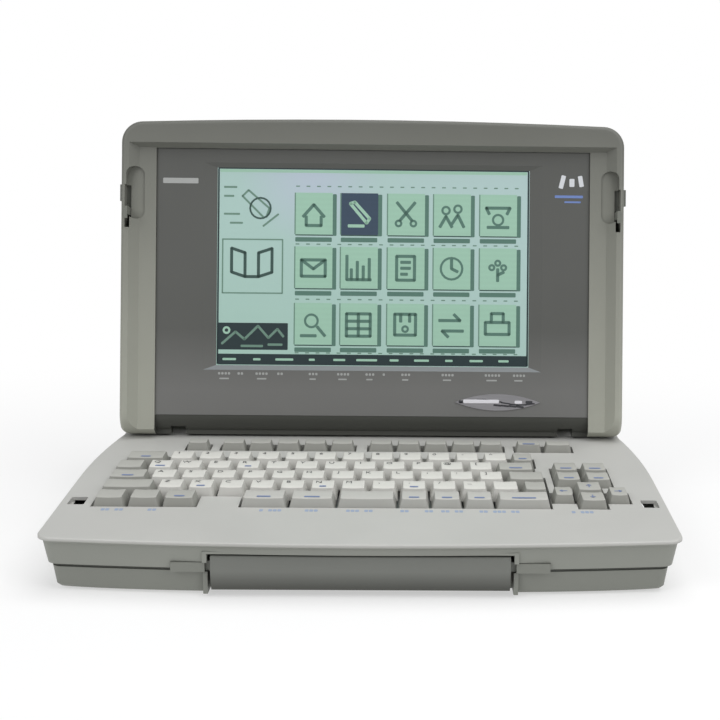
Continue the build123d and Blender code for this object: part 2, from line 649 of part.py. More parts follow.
# ---------------------------------------------------------------- keyboard deck cover
with BuildPart() as deck_cover:
    with BuildSketch(DECK):
        add(deck_outline(0, DECK_LENGTH - 0.2))
    extrude(amount=-DECK_SKIN)
    upper = deck_cover.faces().sort_by(Axis((0, 0, 0), UPWARD))[-1]
    fillet(upper.edges().sort_by(Axis.Y)[:-1], DECK_EDGE)
    # A rib inside the case wall locates the cover
    with BuildSketch(DECK.offset(-DECK_SKIN)):
        rib = RIM_INSET + RING_WALL + FIT
        add(deck_outline(rib, DECK_LENGTH - 4))
        add(deck_outline(rib + 1.5, DECK_LENGTH - 5.5), mode=Mode.SUBTRACT)
    extrude(amount=-1.4)
    # Lips turn down round the key openings and stand on the keyboard plate
    with BuildSketch(DECK.offset(-DECK_SKIN)):
        add(key_holes(WELL_GAP + WELL_LIP))
    extrude(amount=DECK_SKIN - PLATE_DEPTH)
    with BuildSketch(DECK):
        add(WELL)
    extrude(amount=-PLATE_DEPTH - 1, mode=Mode.SUBTRACT)
    # Two notches take the hooks of the lid
    for side in (-1, 1):
        notch_x = side * (HOOK_X + NOTCH_OUTWARD)
        notch_y = HINGE_SETBACK - HOOK_UP
        slab(
            DECK.offset(1),
            (notch_x - NOTCH_WIDTH / 2, notch_x + NOTCH_WIDTH / 2),
            (notch_y - NOTCH_LENGTH / 2, notch_y + NOTCH_LENGTH / 2),
            -DECK_SKIN - 2,
            Mode.SUBTRACT,
            radius=1.0,
        )
save(deck_cover.part, "deck_cover")

# ---------------------------------------------------------------- keyboard module
PLATE_LEFT = KEYBOARD_LEFT - 2.0
PLATE_RIGHT = CURSOR_X + (0.9 + CURSOR_SIDE_WIDTH / 2) * KEY_PITCH + 2.0
PLATE_FRONT = FRONT_ROW - 2.0
PLATE_BACK = FUNCTION_ROW + FUNCTION_DEPTH + 2.0
with BuildPart() as keyboard_plate:
    slab(DECK.offset(-PLATE_DEPTH), (PLATE_LEFT, PLATE_RIGHT), (PLATE_FRONT, PLATE_BACK), -PLATE_THICKNESS)
    with BuildSketch(DECK.offset(-PLATE_DEPTH)):
        for place, width, depth in ALL_KEYS:
            with Locations(*[(place[0] + dx, place[1]) for dx in stem_offsets(width)]):
                Rectangle(STEM_HOLE, STEM_HOLE)
    extrude(amount=-PLATE_THICKNESS, mode=Mode.SUBTRACT)
save(keyboard_plate.part, "keyboard_plate")

with BuildPart() as keyboard_tray:
    depth = TRAY_DEPTH - PLATE_TOP_ON_TRAY + TRAY_SHEET
    slab(DECK.offset(-PLATE_TOP_ON_TRAY), (PLATE_LEFT, PLATE_RIGHT), (PLATE_FRONT, PLATE_BACK), -depth)
    slab(
        DECK.offset(-PLATE_TOP_ON_TRAY),
        (PLATE_LEFT + TRAY_SHEET, PLATE_RIGHT - TRAY_SHEET),
        (PLATE_FRONT + TRAY_SHEET, PLATE_BACK - TRAY_SHEET),
        -depth + TRAY_SHEET,
        Mode.SUBTRACT,
    )
save(keyboard_tray.part, "keyboard_tray")

with BuildPart() as membrane_sheet:
    slab(
        DECK.offset(-TRAY_DEPTH),
        (PLATE_LEFT + TRAY_SHEET + FIT, PLATE_RIGHT - TRAY_SHEET - FIT),
        (PLATE_FRONT + TRAY_SHEET + FIT, PLATE_BACK - TRAY_SHEET - FIT),
        MEMBRANE,
    )
save(membrane_sheet.part, "membrane_sheet")

for row_name, keys in KEY_ROWS.items():
    with BuildPart() as key_row:
        for place, width, depth in keys:
            base_width, base_depth = width - KEY_GAP, depth - KEY_GAP
            with BuildSketch(DECK.offset(-KEY_SKIRT)):
                with Locations(place):
                    Rectangle(base_width, base_depth)
            with BuildSketch(DECK.offset(KEY_RISE)):
                with Locations((place[0], place[1] + 0.4)):
                    Rectangle(base_width - 2 * KEY_LEAN, base_depth - 2 * KEY_LEAN)
            loft(ruled=True)
            for dx in stem_offsets(width):
                stem_x, stem_y = place[0] + dx, place[1]
                slab(
                    DECK.offset(-STEM_END),
                    (stem_x - STEM / 2, stem_x + STEM / 2),
                    (stem_y - STEM / 2, stem_y + STEM / 2),
                    STEM_END - KEY_SKIRT,
                )
    save(key_row.part, row_name)

# ---------------------------------------------------------------- lid
HINGE_X = 134.0  # between the body's bracket and the lid's leaf
BRACKET = 8.0
LEAF = 8.0
PIN = 5.0
LEAF_LENGTH = 42.0
BRACKET_ARM = 6.0
BRACKET_DROP = 0.6  # the arm lies this far below the axis, under the rear section's top
lid_back_inner = LID_BACK - WALL

with BuildPart() as lid_back_shell:
    with BuildSketch(LID.offset(-LID_BACK)):
        add(lid_outline())
    extrude(amount=LID_BACK + LID_SPLIT)
    side_extrusion(lid_profile(LID_FACE, LID_BACK, LID_BARREL), (-SIDE - 1, SIDE + 1), Mode.INTERSECT)
    back = lid_back_shell.faces().sort_by(Axis((0, 0, 0), FACING))[0]
    fillet(back.edges().sort_by(Axis.Z)[1:], LID_ROUND)
    with BuildSketch(LID.offset(-LID_BACK - 1)):
        add(lid_foot_corners())
    extrude(amount=LID_BACK + LID_SPLIT + 2, mode=Mode.SUBTRACT)
    with BuildSketch(LID.offset(-lid_back_inner)):
        add(lid_outline(WALL, -LID_BARREL + 2 * WALL))
    extrude(amount=lid_back_inner + LID_SPLIT + 1, mode=Mode.SUBTRACT)
    for side in (-1, 1):
        arm = sorted((side * (HINGE_X - BRACKET - 1), side * (HINGE_X + 1)))
        slab(LID.offset(-LID_BACK - 1), (arm[0], arm[1]), (-LID_BARREL - 1, 13), LID_BACK + 3, Mode.SUBTRACT)
save(lid_back_shell.part, "lid_back_shell")

rail_inner = PANEL_WIDTH / 2
with BuildPart() as lid_frame:
    with BuildSketch(LID.offset(LID_SPLIT)):
        add(lid_outline())
    extrude(amount=LID_FACE - LID_SPLIT)
    side_extrusion(lid_profile(LID_FACE, LID_BACK, LID_BARREL), (-SIDE - 1, SIDE + 1), Mode.INTERSECT)
    face = lid_frame.faces().sort_by(Axis((0, 0, 0), FACING))[-1]
    fillet(face.edges().sort_by(Axis.Z)[1:], LID_ROUND)
    with BuildSketch(LID.offset(-LID_BACK - 1)):
        add(lid_foot_corners())
    extrude(amount=LID_BACK + LID_FACE + 2, mode=Mode.SUBTRACT)
    # The rails and the top rim slope down to a lower strip, which clears the keys when the lid is closed
    pocket_low = -LID_BARREL - 6
    for height, half, top in (
        (RAIL_FACE, RAIL_FOOT_X, PANEL_TOP + 0.2),
        (LID_FACE + 0.01, RAIL_STEP_X, PANEL_TOP + RIM_SLOPE),
    ):
        with BuildSketch(LID.offset(height)):
            with Locations((0, (top + pocket_low) / 2)):
                Rectangle(2 * half, top - pocket_low)
    loft(ruled=True, mode=Mode.SUBTRACT)
    # The panel lies in a recess between the rails; below it a bar curves back to the hinge
    slab(
        LID.offset(PANEL_FACE),
        (-rail_inner, rail_inner),
        (-LID_BARREL - 1, PANEL_TOP),
        LID_FACE,
        Mode.SUBTRACT,
    )
    with BuildSketch(mode=Mode.PRIVATE) as bar_curve:
        reach = math.sqrt(LID_BARREL**2 - LID_BACK**2)
        bar_centre = (PANEL_FACE**2 - LID_BARREL**2) / 2 / (PANEL_FACE + LID_BACK)
        bar_radius = PANEL_FACE - bar_centre
        bar_middle = (-bar_radius * math.sin(0.7), bar_centre + bar_radius * math.cos(0.7))
        with BuildLine():
            ThreePointArc((0, PANEL_FACE), bar_middle, (-reach, -LID_BACK))
            Line((-reach, -LID_BACK), (-LID_BARREL - 2, -LID_BACK))
            Line((-LID_BARREL - 2, -LID_BACK), (-LID_BARREL - 2, PANEL_FACE + 1))
            Line((-LID_BARREL - 2, PANEL_FACE + 1), (0, PANEL_FACE + 1))
            Line((0, PANEL_FACE + 1), (0, PANEL_FACE))
        make_face()
    side_extrusion(bar_curve.sketch, (-rail_inner, rail_inner), Mode.SUBTRACT)
    slab(
        LID.offset(PANEL_FACE - PANEL_THICKNESS),
        (-rail_inner, rail_inner),
        (PANEL_BOTTOM, PANEL_TOP),
        LID_FACE,
        Mode.SUBTRACT,
    )
    slab(
        LID.offset(LID_SPLIT),
        (-rail_inner + PANEL_LEDGE, rail_inner - PANEL_LEDGE),
        (PANEL_BOTTOM + PANEL_LEDGE, PANEL_TOP - PANEL_LEDGE),
        LID_FACE,
        Mode.SUBTRACT,
    )
    # The rails and the top rim are hollow from behind, and the rim more deeply
    for half, top, face in (
        (rail_inner + WALL, PANEL_TOP + WALL, RAIL_FACE),
        (SIDE, PANEL_TOP + RIM_SLOPE + WALL, LID_FACE),
    ):
        with BuildSketch(LID.offset(LID_SPLIT)):
            add(lid_outline(WALL, -LID_BARREL + 2 * WALL))
            with Locations((0, (top + pocket_low) / 2)):
                Rectangle(2 * half, top - pocket_low, mode=Mode.SUBTRACT)
        extrude(amount=face - LID_SPLIT - WALL, mode=Mode.SUBTRACT)
    for side in (-1, 1):
        # Room for the body's bracket and the lid's leaf
        arm = sorted((side * (HINGE_X - BRACKET - 1), side * (HINGE_X + 1)))
        slab(LID, (arm[0], arm[1]), (-LID_BARREL - 1, 8), BRACKET_ARM / 2 + 1.2, Mode.SUBTRACT)
        rod(Plane(HINGE + Vector(arm[0], 0, 0), z_dir=(1, 0, 0)), (0, 0), 5.4, BRACKET + 2, Mode.SUBTRACT)
        leaf = sorted((side * HINGE_X, side * (HINGE_X + LEAF + 1)))
        slab(LID, (leaf[0], leaf[1]), (-5.6, 8), 5.0, Mode.SUBTRACT)
        # Thumb recess, hook slot and the slot for the thumb nub
        slab(
            LID.offset(RAIL_FACE - LATCH_RECESS),
            (side * LATCH_X - LATCH_RECESS_WIDTH / 2, side * LATCH_X + LATCH_RECESS_WIDTH / 2),
            (LATCH_UP - LATCH_RECESS_LENGTH / 2, LATCH_UP + LATCH_RECESS_LENGTH / 2),
            LID_FACE,
            Mode.SUBTRACT,
            radius=LATCH_RECESS_WIDTH / 2 - 0.1,
        )
        slab(
            LID.offset(RAIL_FACE - WALL - 0.5),
            (side * HOOK_X - HOOK_WIDTH / 2 - 0.3, side * HOOK_X + HOOK_WIDTH / 2 + 0.3),
            (HOOK_UP - HOOK_LENGTH / 2 - LATCH_TRAVEL - 0.5, HOOK_SLOT_TOP),
            LID_FACE,
            Mode.SUBTRACT,
        )
        nub = sorted((side * (SIDE - WALL - 1), side * (SIDE + 1)))
        slab(
            LID.offset(LID_SPLIT - 0.1),
            (nub[0], nub[1]),
            (LATCH_UP - 6 - LATCH_TRAVEL, LATCH_UP + 8),
            LATCH_THICKNESS + 1.0,
            Mode.SUBTRACT,
        )
save(lid_frame.part, "lid_frame")

with BuildPart() as display_panel:
    panel_back = PANEL_FACE - PANEL_THICKNESS
    slab(
        LID.offset(panel_back),
        (-rail_inner + FIT, rail_inner - FIT),
        (PANEL_BOTTOM + FIT, PANEL_TOP - FIT),
        PANEL_THICKNESS,
    )
    screen_middle = (0, SCREEN_BOTTOM + SCREEN_HEIGHT / 2)
    with BuildSketch(LID.offset(panel_back)):
        with Locations(screen_middle):
            Rectangle(SCREEN_WIDTH, SCREEN_HEIGHT)
    with BuildSketch(LID.offset(PANEL_FACE)):
        with Locations(screen_middle):
            Rectangle(SCREEN_WIDTH + 2 * BEZEL_SIDE, SCREEN_HEIGHT + 2 * BEZEL_END)
    loft(ruled=True, mode=Mode.SUBTRACT)
save(display_panel.part, "display_panel")

with BuildPart() as lcd_glass:
    slab(
        LID.offset(panel_back - GLASS),
        (-SCREEN_WIDTH / 2 - 3, SCREEN_WIDTH / 2 + 3),
        (SCREEN_BOTTOM - 3, SCREEN_BOTTOM + SCREEN_HEIGHT + 3),
        GLASS,
    )
save(lcd_glass.part, "lcd_glass")

MODULE_BACK = -2.4
LAMP = 3.0
LAMP_UP = SCREEN_BOTTOM - 5.4
with BuildPart() as lcd_module:
    module_x = SCREEN_WIDTH / 2 + 7
    slab(
        LID.offset(MODULE_BACK),
        (-module_x, module_x),
        (SCREEN_BOTTOM - 8.5, SCREEN_BOTTOM + SCREEN_HEIGHT + 7),
        panel_back - GLASS - MODULE_BACK,
    )
    slab(
        LID.offset(panel_back - GLASS - 0.6),
        (-SCREEN_WIDTH / 2, SCREEN_WIDTH / 2),
        (SCREEN_BOTTOM, SCREEN_BOTTOM + SCREEN_HEIGHT),
        2,
        Mode.SUBTRACT,
    )
    # The channel of the backlight lamp
    slab(
        LID.offset(MODULE_BACK + 1.2),
        (-SCREEN_WIDTH / 2, SCREEN_WIDTH / 2),
        (LAMP_UP - LAMP / 2 - 0.3, LAMP_UP + LAMP / 2 + 0.3),
        LAMP + 0.6,
        Mode.SUBTRACT,
    )
    # Mounting tabs stand on the back shell
    for side in (-1, 1):
        tab = sorted((side * (module_x - 4), side * (module_x + 4)))
        for up in (SCREEN_BOTTOM + 10, SCREEN_BOTTOM + SCREEN_HEIGHT - 10):
            slab(LID.offset(-lid_back_inner), (tab[0], tab[1]), (up - 4, up + 4), MODULE_BACK + lid_back_inner + 1)
save(lcd_module.part, "lcd_module")

with BuildPart() as backlight_lamp:
    lamp_plane = Plane(
        LID.from_local_coords(Vector(-SCREEN_WIDTH / 2 + 1, LAMP_UP, MODULE_BACK + 1.5 + LAMP / 2)),
        x_dir=LID_SIDE.x_dir,
        z_dir=(1, 0, 0),
    )
    with BuildSketch(lamp_plane):
        Circle(LAMP / 2)
    extrude(amount=SCREEN_WIDTH - 2)
save(backlight_lamp.part, "backlight_lamp")

with BuildPart() as inverter_board:
    slab(LID.offset(-1.5), (20, 112), (5, 21), 1.2)
    slab(LID.offset(-0.3), (26, 46), (8, 18), 3.6)
    slab(LID.offset(-0.3), (60, 70), (9, 17), 3.0)
    slab(LID.offset(-0.3), (84, 104), (10, 14), 2.6)
    for x in (24, 108):
        slab(LID.offset(-lid_back_inner), (x - 2, x + 2), (11, 15), lid_back_inner - 1.5)
save(inverter_board.part, "inverter_board")

with BuildPart() as badge:
    lens_x, lens_y = BADGE_LENGTH / 2, BADGE_HEIGHT / 2
    with BuildSketch(LID.offset(PANEL_FACE)):
        with BuildLine():
            ThreePointArc((BADGE_X - lens_x, BADGE_UP), (BADGE_X, BADGE_UP + lens_y), (BADGE_X + lens_x, BADGE_UP))
            ThreePointArc((BADGE_X + lens_x, BADGE_UP), (BADGE_X, BADGE_UP - lens_y), (BADGE_X - lens_x, BADGE_UP))
        make_face()
    extrude(amount=BADGE_THICKNESS)
save(badge.part, "badge")

with BuildPart() as hinge_leaves:
    for side in (-1, 1):
        leaf = sorted((side * (HINGE_X + 0.3), side * (HINGE_X + LEAF)))
        slab(LID.offset(-lid_back_inner), (leaf[0], leaf[1]), (-4.5, 4.5), lid_back_inner + 4.2)
        slab(LID.offset(-lid_back_inner), (leaf[0], leaf[1]), (0, LEAF_LENGTH), 2.0)
        foot = sorted((side * (HINGE_X - 8), side * (HINGE_X + LEAF)))
        slab(LID.offset(-lid_back_inner), (foot[0], foot[1]), (LEAF_LENGTH - 22, LEAF_LENGTH), 2.0)
        start = side * (HINGE_X - BRACKET - 0.8)
        pin_plane = Plane(HINGE + Vector(start, 0, 0), x_dir=LID_SIDE.x_dir, z_dir=(side, 0, 0))
        rod(pin_plane, (0, 0), PIN / 2, BRACKET + LEAF + 0.8)
save(hinge_leaves.part, "hinge_leaves")

with BuildPart() as hinge_brackets:
    for side in (-1, 1):
        near = side * (HINGE_X - BRACKET)
        plate_plane = Plane((near, 0, 0), x_dir=(0, 1, 0), z_dir=(1, 0, 0))
        depth = side * BRACKET
        with BuildSketch(plate_plane):
            with Locations((HINGE.Y, HINGE.Z)):
                Circle(4.9)
            with Locations(((HINGE.Y + REAR_INNER + 3) / 2, HINGE.Z - BRACKET_DROP)):
                Rectangle(REAR_INNER + 3 - HINGE.Y, BRACKET_ARM)
            with Locations((REAR_INNER + 1.6, HINGE.Z - 9)):
                Rectangle(3.0, 22.0)
            with Locations((HINGE.Y, HINGE.Z)):
                Circle(PIN / 2 + RUNNING, mode=Mode.SUBTRACT)
        extrude(amount=depth)
        foot = sorted((side * (HINGE_X - BRACKET), side * (HINGE_X + 8)))
        block((foot[0], foot[1]), (REAR_INNER + 0.1, REAR_INNER + 3.1), (HINGE.Z - 18, HINGE.Z - 6))
save(hinge_brackets.part, "hinge_brackets")

for side, name in ((-1, "left_latch"), (1, "right_latch")):
    with BuildPart() as latch:
        body = sorted((side * (HOOK_X - HOOK_WIDTH / 2 - 8), side * (SIDE - WALL - 0.4)))
        base = LID_SPLIT + 0.6
        slab(LID.offset(base), (body[0], body[1]), (LATCH_UP - 15, LATCH_UP + 12), LATCH_THICKNESS)
        hook = sorted((side * (HOOK_X - HOOK_WIDTH / 2), side * (HOOK_X + HOOK_WIDTH / 2)))
        reach = LID_FACE - base + HOOK_REACH
        slab(LID.offset(base), (hook[0], hook[1]), (HOOK_UP - 1, HOOK_UP + HOOK_LENGTH / 2), reach)
        barb = LID_FACE + HOOK_REACH - 1.8
        slab(LID.offset(barb), (hook[0], hook[1]), (HOOK_UP - HOOK_LENGTH / 2, HOOK_UP), 1.8)
        nub = sorted((side * (SIDE - WALL - 2), side * (SIDE + 2.4)))
        slab(LID.offset(base), (nub[0], nub[1]), (LATCH_UP - 5, LATCH_UP + 6), LATCH_THICKNESS)
    save(latch.part, name)

# ---------------------------------------------------------------- carrying handle
with BuildPart() as handle_grip:
    with BuildSketch(across(-GRIP_WIDTH / 2)) as grip_section:
        with BuildLine():
            top_front = (GRIP_Y + 1.0, GRIP_TOP)
            Line((GRIP_Y + GRIP_DEPTH, GRIP_BOTTOM), (GRIP_Y + GRIP_DEPTH, GRIP_TOP))
            Line((GRIP_Y + GRIP_DEPTH, GRIP_TOP), top_front)
            belly = (GRIP_Y, (GRIP_TOP + GRIP_BOTTOM) / 2 + 3)
            ThreePointArc(top_front, belly, (GRIP_Y + 3.4, GRIP_BOTTOM))
            Line((GRIP_Y + 3.4, GRIP_BOTTOM), (GRIP_Y + GRIP_DEPTH, GRIP_BOTTOM))
        make_face()
        fillet(grip_section.vertices().group_by(Axis.X)[-1], 3.0)
        fillet(grip_section.vertices().sort_by(Axis.X)[:2], 1.2)
    extrude(amount=GRIP_WIDTH)
    for side in (-1, 1):
        end = sorted((side * (GRIP_WIDTH / 2 + 1), side * (GRIP_WIDTH / 2 - 7)))
        block(
            (end[0], end[1]),
            (GRIP_Y + 5.0, GRIP_Y + GRIP_DEPTH - 2.0),
            (STRAP_BOTTOM, STRAP_TOP),
            Mode.SUBTRACT,
        )
save(handle_grip.part, "handle_grip")

with BuildPart() as handle_straps:
    for side in (-1, 1):
        arm = (side * STRAP_X - STRAP_WIDTH / 2, side * STRAP_X + STRAP_WIDTH / 2)
        block(arm, (STRAP_Y, STRAP_Y + STRAP_LENGTH), (STRAP_BOTTOM, STRAP_TOP))
        tongue = sorted((side * (GRIP_WIDTH / 2 - 7), side * STRAP_X))
        block(
            (tongue[0], tongue[1]),
            (GRIP_Y + 5.0, GRIP_Y + GRIP_DEPTH - 2.0),
            (STRAP_BOTTOM, STRAP_TOP),
        )
save(handle_straps.part, "handle_straps")


# ---------------------------------------------------------------- printer
def gear_face(teeth, bore, turn):
    """A spur gear's outline: a root circle with a straight-flanked tooth repeated round it."""
    pitch = GEAR_MODULE * teeth / 2
    root, tip = pitch - 1.2 * GEAR_MODULE, pitch + 0.95 * GEAR_MODULE
    angle = 2 * math.pi / teeth

    def flank(radius, share):
        half = share * angle
        return (radius * math.cos(half), radius * math.sin(half))

    right = [flank(root - 0.2, 0.30), flank(pitch, 0.215), flank(tip, 0.10)]
    left = [(x, -y) for x, y in reversed(right)]
    with BuildSketch(mode=Mode.PRIVATE) as face:
        Circle(root)
        with PolarLocations(0, teeth, start_angle=turn):
            Polygon(*right, *left, align=None)
        Circle(bore, mode=Mode.SUBTRACT)
    return face.sketch


def spin_plane(x, y, z):
    """A plane across the machine, centred on a shaft."""
    return Plane((x, y, z), x_dir=(0, 1, 0), z_dir=(1, 0, 0))


with BuildPart() as printer_chassis:
    block((-SIDE_PLATE_X - SHEET, SIDE_PLATE_X + SHEET), (FRAME_FRONT, FRAME_BACK), (CHASSIS_Z, CHASSIS_Z + SHEET))
    block(
        (-SIDE_PLATE_X, SIDE_PLATE_X),
        (FRAME_BACK - SHEET, FRAME_BACK),
        (CHASSIS_Z + SHEET, CHASSIS_Z + 16),
    )
save(printer_chassis.part, "printer_chassis")

with BuildPart() as printer_side_plates:
    for side in (-1, 1):
        start = side * SIDE_PLATE_X
        with BuildSketch(Plane((start, 0, 0), x_dir=(0, 1, 0), z_dir=(1, 0, 0))) as plate:
            floor = CHASSIS_Z + SHEET
            with BuildLine():
                Polyline(
                    (FRAME_FRONT, floor),
                    (FRAME_BACK, floor),
                    (FRAME_BACK, PLATEN_Z - 6),
                    (PLATEN_Y + 12, FRAME_TOP),
                    (PLATEN_Y - 12, FRAME_TOP),
                    (FRAME_FRONT, GUIDE_Z + 8),
                    close=True,
                )
            make_face()
            fillet(plate.vertices().group_by(Axis.Y)[-1], 5.0)
            with Locations((PLATEN_Y, PLATEN_Z)):
                Circle(BUSH / 2, mode=Mode.SUBTRACT)
            with Locations((GUIDE_Y, GUIDE_Z)):
                Circle(GUIDE / 2 + RUNNING, mode=Mode.SUBTRACT)
            with Locations((PINION_Y, PINION_Z)):
                Circle(3.0, mode=Mode.SUBTRACT)
        extrude(amount=side * SHEET)
save(printer_side_plates.part, "printer_side_plates")

with BuildPart() as guide_shaft:
    rod(spin_plane(-SIDE_PLATE_X - SHEET, GUIDE_Y, GUIDE_Z), (0, 0), GUIDE / 2, 2 * (SIDE_PLATE_X + SHEET))
save(guide_shaft.part, "guide_shaft")

with BuildPart() as platen_bushes:
    for side in (-1, 1):
        with BuildSketch(spin_plane(side * (SIDE_PLATE_X - 2), PLATEN_Y, PLATEN_Z)):
            Circle(BUSH / 2 + 1.5)
            Circle(SHAFT / 2 + RUNNING, mode=Mode.SUBTRACT)
        extrude(amount=side * 2)
        with BuildSketch(spin_plane(side * SIDE_PLATE_X, PLATEN_Y, PLATEN_Z)):
            Circle(BUSH / 2)
            Circle(SHAFT / 2 + RUNNING, mode=Mode.SUBTRACT)
        extrude(amount=side * (SHEET + 0.6))
save(platen_bushes.part, "platen_bushes")

KNOB_FACE = -SIDE - 2.6
with BuildPart() as platen_shaft:
    rod(spin_plane(KNOB_FACE + 3, PLATEN_Y, PLATEN_Z), (0, 0), SHAFT / 2, GEAR_X + GEAR_FACE + 1 - KNOB_FACE - 3)
save(platen_shaft.part, "platen_shaft")

with BuildPart() as platen_roller:
    with BuildSketch(spin_plane(-PLATEN_LENGTH / 2, PLATEN_Y, PLATEN_Z)):
        Circle(PLATEN_RADIUS)
        Circle(SHAFT / 2, mode=Mode.SUBTRACT)
    extrude(amount=PLATEN_LENGTH)
save(platen_roller.part, "platen_roller")

with BuildPart() as platen_gear:
    with BuildSketch(spin_plane(GEAR_X, PLATEN_Y, PLATEN_Z)):
        add(gear_face(PLATEN_TEETH, SHAFT / 2, 0))
        with PolarLocations(9.0, 5):
            Circle(2.2, mode=Mode.SUBTRACT)
    extrude(amount=GEAR_FACE)
save(platen_gear.part, "platen_gear")

with BuildPart() as feed_pinion:
    with BuildSketch(spin_plane(GEAR_X, PINION_Y, PINION_Z)):
        add(gear_face(PINION_TEETH, 1.0 + RUNNING, 180 / PINION_TEETH))
    extrude(amount=GEAR_FACE)
save(feed_pinion.part, "feed_pinion")

with BuildPart() as feed_knob:
    with BuildSketch(spin_plane(KNOB_FACE, PLATEN_Y, PLATEN_Z)):
        Circle(KNOB_RADIUS)
        with PolarLocations(KNOB_RADIUS + 0.6, 18):
            Circle(1.2, mode=Mode.SUBTRACT)
    extrude(amount=KNOB_LENGTH)
    rod(spin_plane(KNOB_FACE + 3, PLATEN_Y, PLATEN_Z), (0, 0), SHAFT / 2, KNOB_LENGTH, Mode.SUBTRACT)
save(feed_knob.part, "feed_knob")

with BuildPart() as feed_motor:
    motor_x = SIDE_PLATE_X - MOTOR_LENGTH
    rod(spin_plane(motor_x, PINION_Y, PINION_Z), (0, 0), MOTOR_RADIUS, MOTOR_LENGTH)
    rod(spin_plane(SIDE_PLATE_X, PINION_Y, PINION_Z), (0, 0), 1.0, GEAR_X + GEAR_FACE - SIDE_PLATE_X)
save(feed_motor.part, "feed_motor")

facing_back = Plane((0, BELT_Y - BELT_WIDTH / 2, 0), x_dir=(1, 0, 0), z_dir=(0, 1, 0))
with BuildPart() as drive_belt:
    with BuildSketch(facing_back):
        with Locations((0, -BELT_Z)):
            SlotCenterToCenter(2 * PULLEY_X, 2 * (PULLEY_RADIUS + BELT_THICKNESS))
            SlotCenterToCenter(2 * PULLEY_X, 2 * PULLEY_RADIUS, mode=Mode.SUBTRACT)
    extrude(amount=BELT_WIDTH)
save(drive_belt.part, "drive_belt")

with BuildPart() as carriage_motor:
    motor_back = FRAME_FRONT - 2.0
    rod(
        Plane((0, motor_back - MOTOR_LENGTH, 0), x_dir=(1, 0, 0), z_dir=(0, 1, 0)),
        (PULLEY_X, -BELT_Z),
        MOTOR_RADIUS - 1.5,
        MOTOR_LENGTH,
    )
    for side in (-1, 1):
        with BuildSketch(facing_back.offset(-1)):
            with Locations((side * PULLEY_X, -BELT_Z)):
                Circle(PULLEY_RADIUS)
        extrude(amount=BELT_WIDTH + 2)
    rod(
        Plane((0, motor_back, 0), x_dir=(1, 0, 0), z_dir=(0, 1, 0)),
        (PULLEY_X, -BELT_Z),
        1.5,
        BELT_Y - motor_back,
    )
    # The idler turns on a post that stands on the chassis
    block(
        (-PULLEY_X - 3, -PULLEY_X + 3),
        (BELT_Y + BELT_WIDTH / 2 + 1, BELT_Y + BELT_WIDTH / 2 + 2.5),
        (CHASSIS_Z + SHEET, BELT_Z + 3),
    )
save(carriage_motor.part, "carriage_motor")

carriage = (CARRIAGE_HOME - CARRIAGE_WIDTH / 2, CARRIAGE_HOME + CARRIAGE_WIDTH / 2)
HEAD_FACE = PLATEN_Y - PLATEN_RADIUS - 0.4
HEAD_THICKNESS = 3.0
CASSETTE_TOP = 58.0
CASSETTE_FLOOR = 36.0
with BuildPart() as print_carriage:
    block(carriage, (BELT_Y + 4.6, HEAD_FACE - HEAD_THICKNESS), (CHASSIS_Z + SHEET + 2, CASSETTE_FLOOR))
    block(carriage, (HEAD_FACE - HEAD_THICKNESS - 3, HEAD_FACE - HEAD_THICKNESS), (CASSETTE_FLOOR, PLATEN_Z + 6))
    rod(
        spin_plane(carriage[0], GUIDE_Y, GUIDE_Z),
        (0, 0),
        GUIDE / 2 + RUNNING,
        CARRIAGE_WIDTH,
        Mode.SUBTRACT,
    )
    # Clamp that holds the belt's upper run
    clamp = (CARRIAGE_HOME - 5, CARRIAGE_HOME + 5)
    clamp_z = BELT_Z + PULLEY_RADIUS + BELT_THICKNESS + 0.3
    block(clamp, (BELT_Y - 1.5, BELT_Y + 4.6), (clamp_z, clamp_z + 3))
save(print_carriage.part, "print_carriage")

with BuildPart() as thermal_head:
    block(
        (CARRIAGE_HOME - 7, CARRIAGE_HOME + 7),
        (HEAD_FACE - HEAD_THICKNESS, HEAD_FACE),
        (PLATEN_Z - 6, PLATEN_Z + 6),
    )
save(thermal_head.part, "thermal_head")

with BuildPart() as ribbon_cassette:
    with BuildSketch(Plane((CARRIAGE_HOME, 0, CASSETTE_FLOOR))):
        with Locations((0, BELT_Y + 8)):
            RectangleRounded(CARRIAGE_WIDTH + 12, 2 * (HEAD_FACE - HEAD_THICKNESS - 3.3 - BELT_Y - 8), 3)
    extrude(amount=CASSETTE_TOP - CASSETTE_FLOOR)
    for side in (-1, 1):
        with Locations((CARRIAGE_HOME + side * 15, BELT_Y + 8, CASSETTE_TOP)):
            Cylinder(4.5, 2.4, mode=Mode.SUBTRACT)
save(ribbon_cassette.part, "ribbon_cassette")

with BuildPart() as printer_cover:
    lip = COVER_THICKNESS / 2
    with BuildSketch(across(-COVER_WIDTH / 2)):
        with Locations(((COVER_FRONT + COVER_PIN_Y) / 2, REAR_TOP - lip)):
            Rectangle(COVER_PIN_Y - COVER_FRONT, COVER_THICKNESS)
        with Locations((COVER_PIN_Y, REAR_TOP - lip)):
            Circle(lip)
    extrude(amount=COVER_WIDTH)
    # Finger grooves near the front edge
    with Locations((0, COVER_FRONT + 9, REAR_TOP)):
        with GridLocations(0, 3, 1, 3):
            Box(60, 1.2, 1.2, mode=Mode.SUBTRACT)
    rod(
        across(-COVER_WIDTH / 2 - 2.6),
        (COVER_PIN_Y, REAR_TOP - lip),
        COVER_PIN / 2,
        COVER_WIDTH + 5.2,
    )
save(printer_cover.part, "printer_cover")

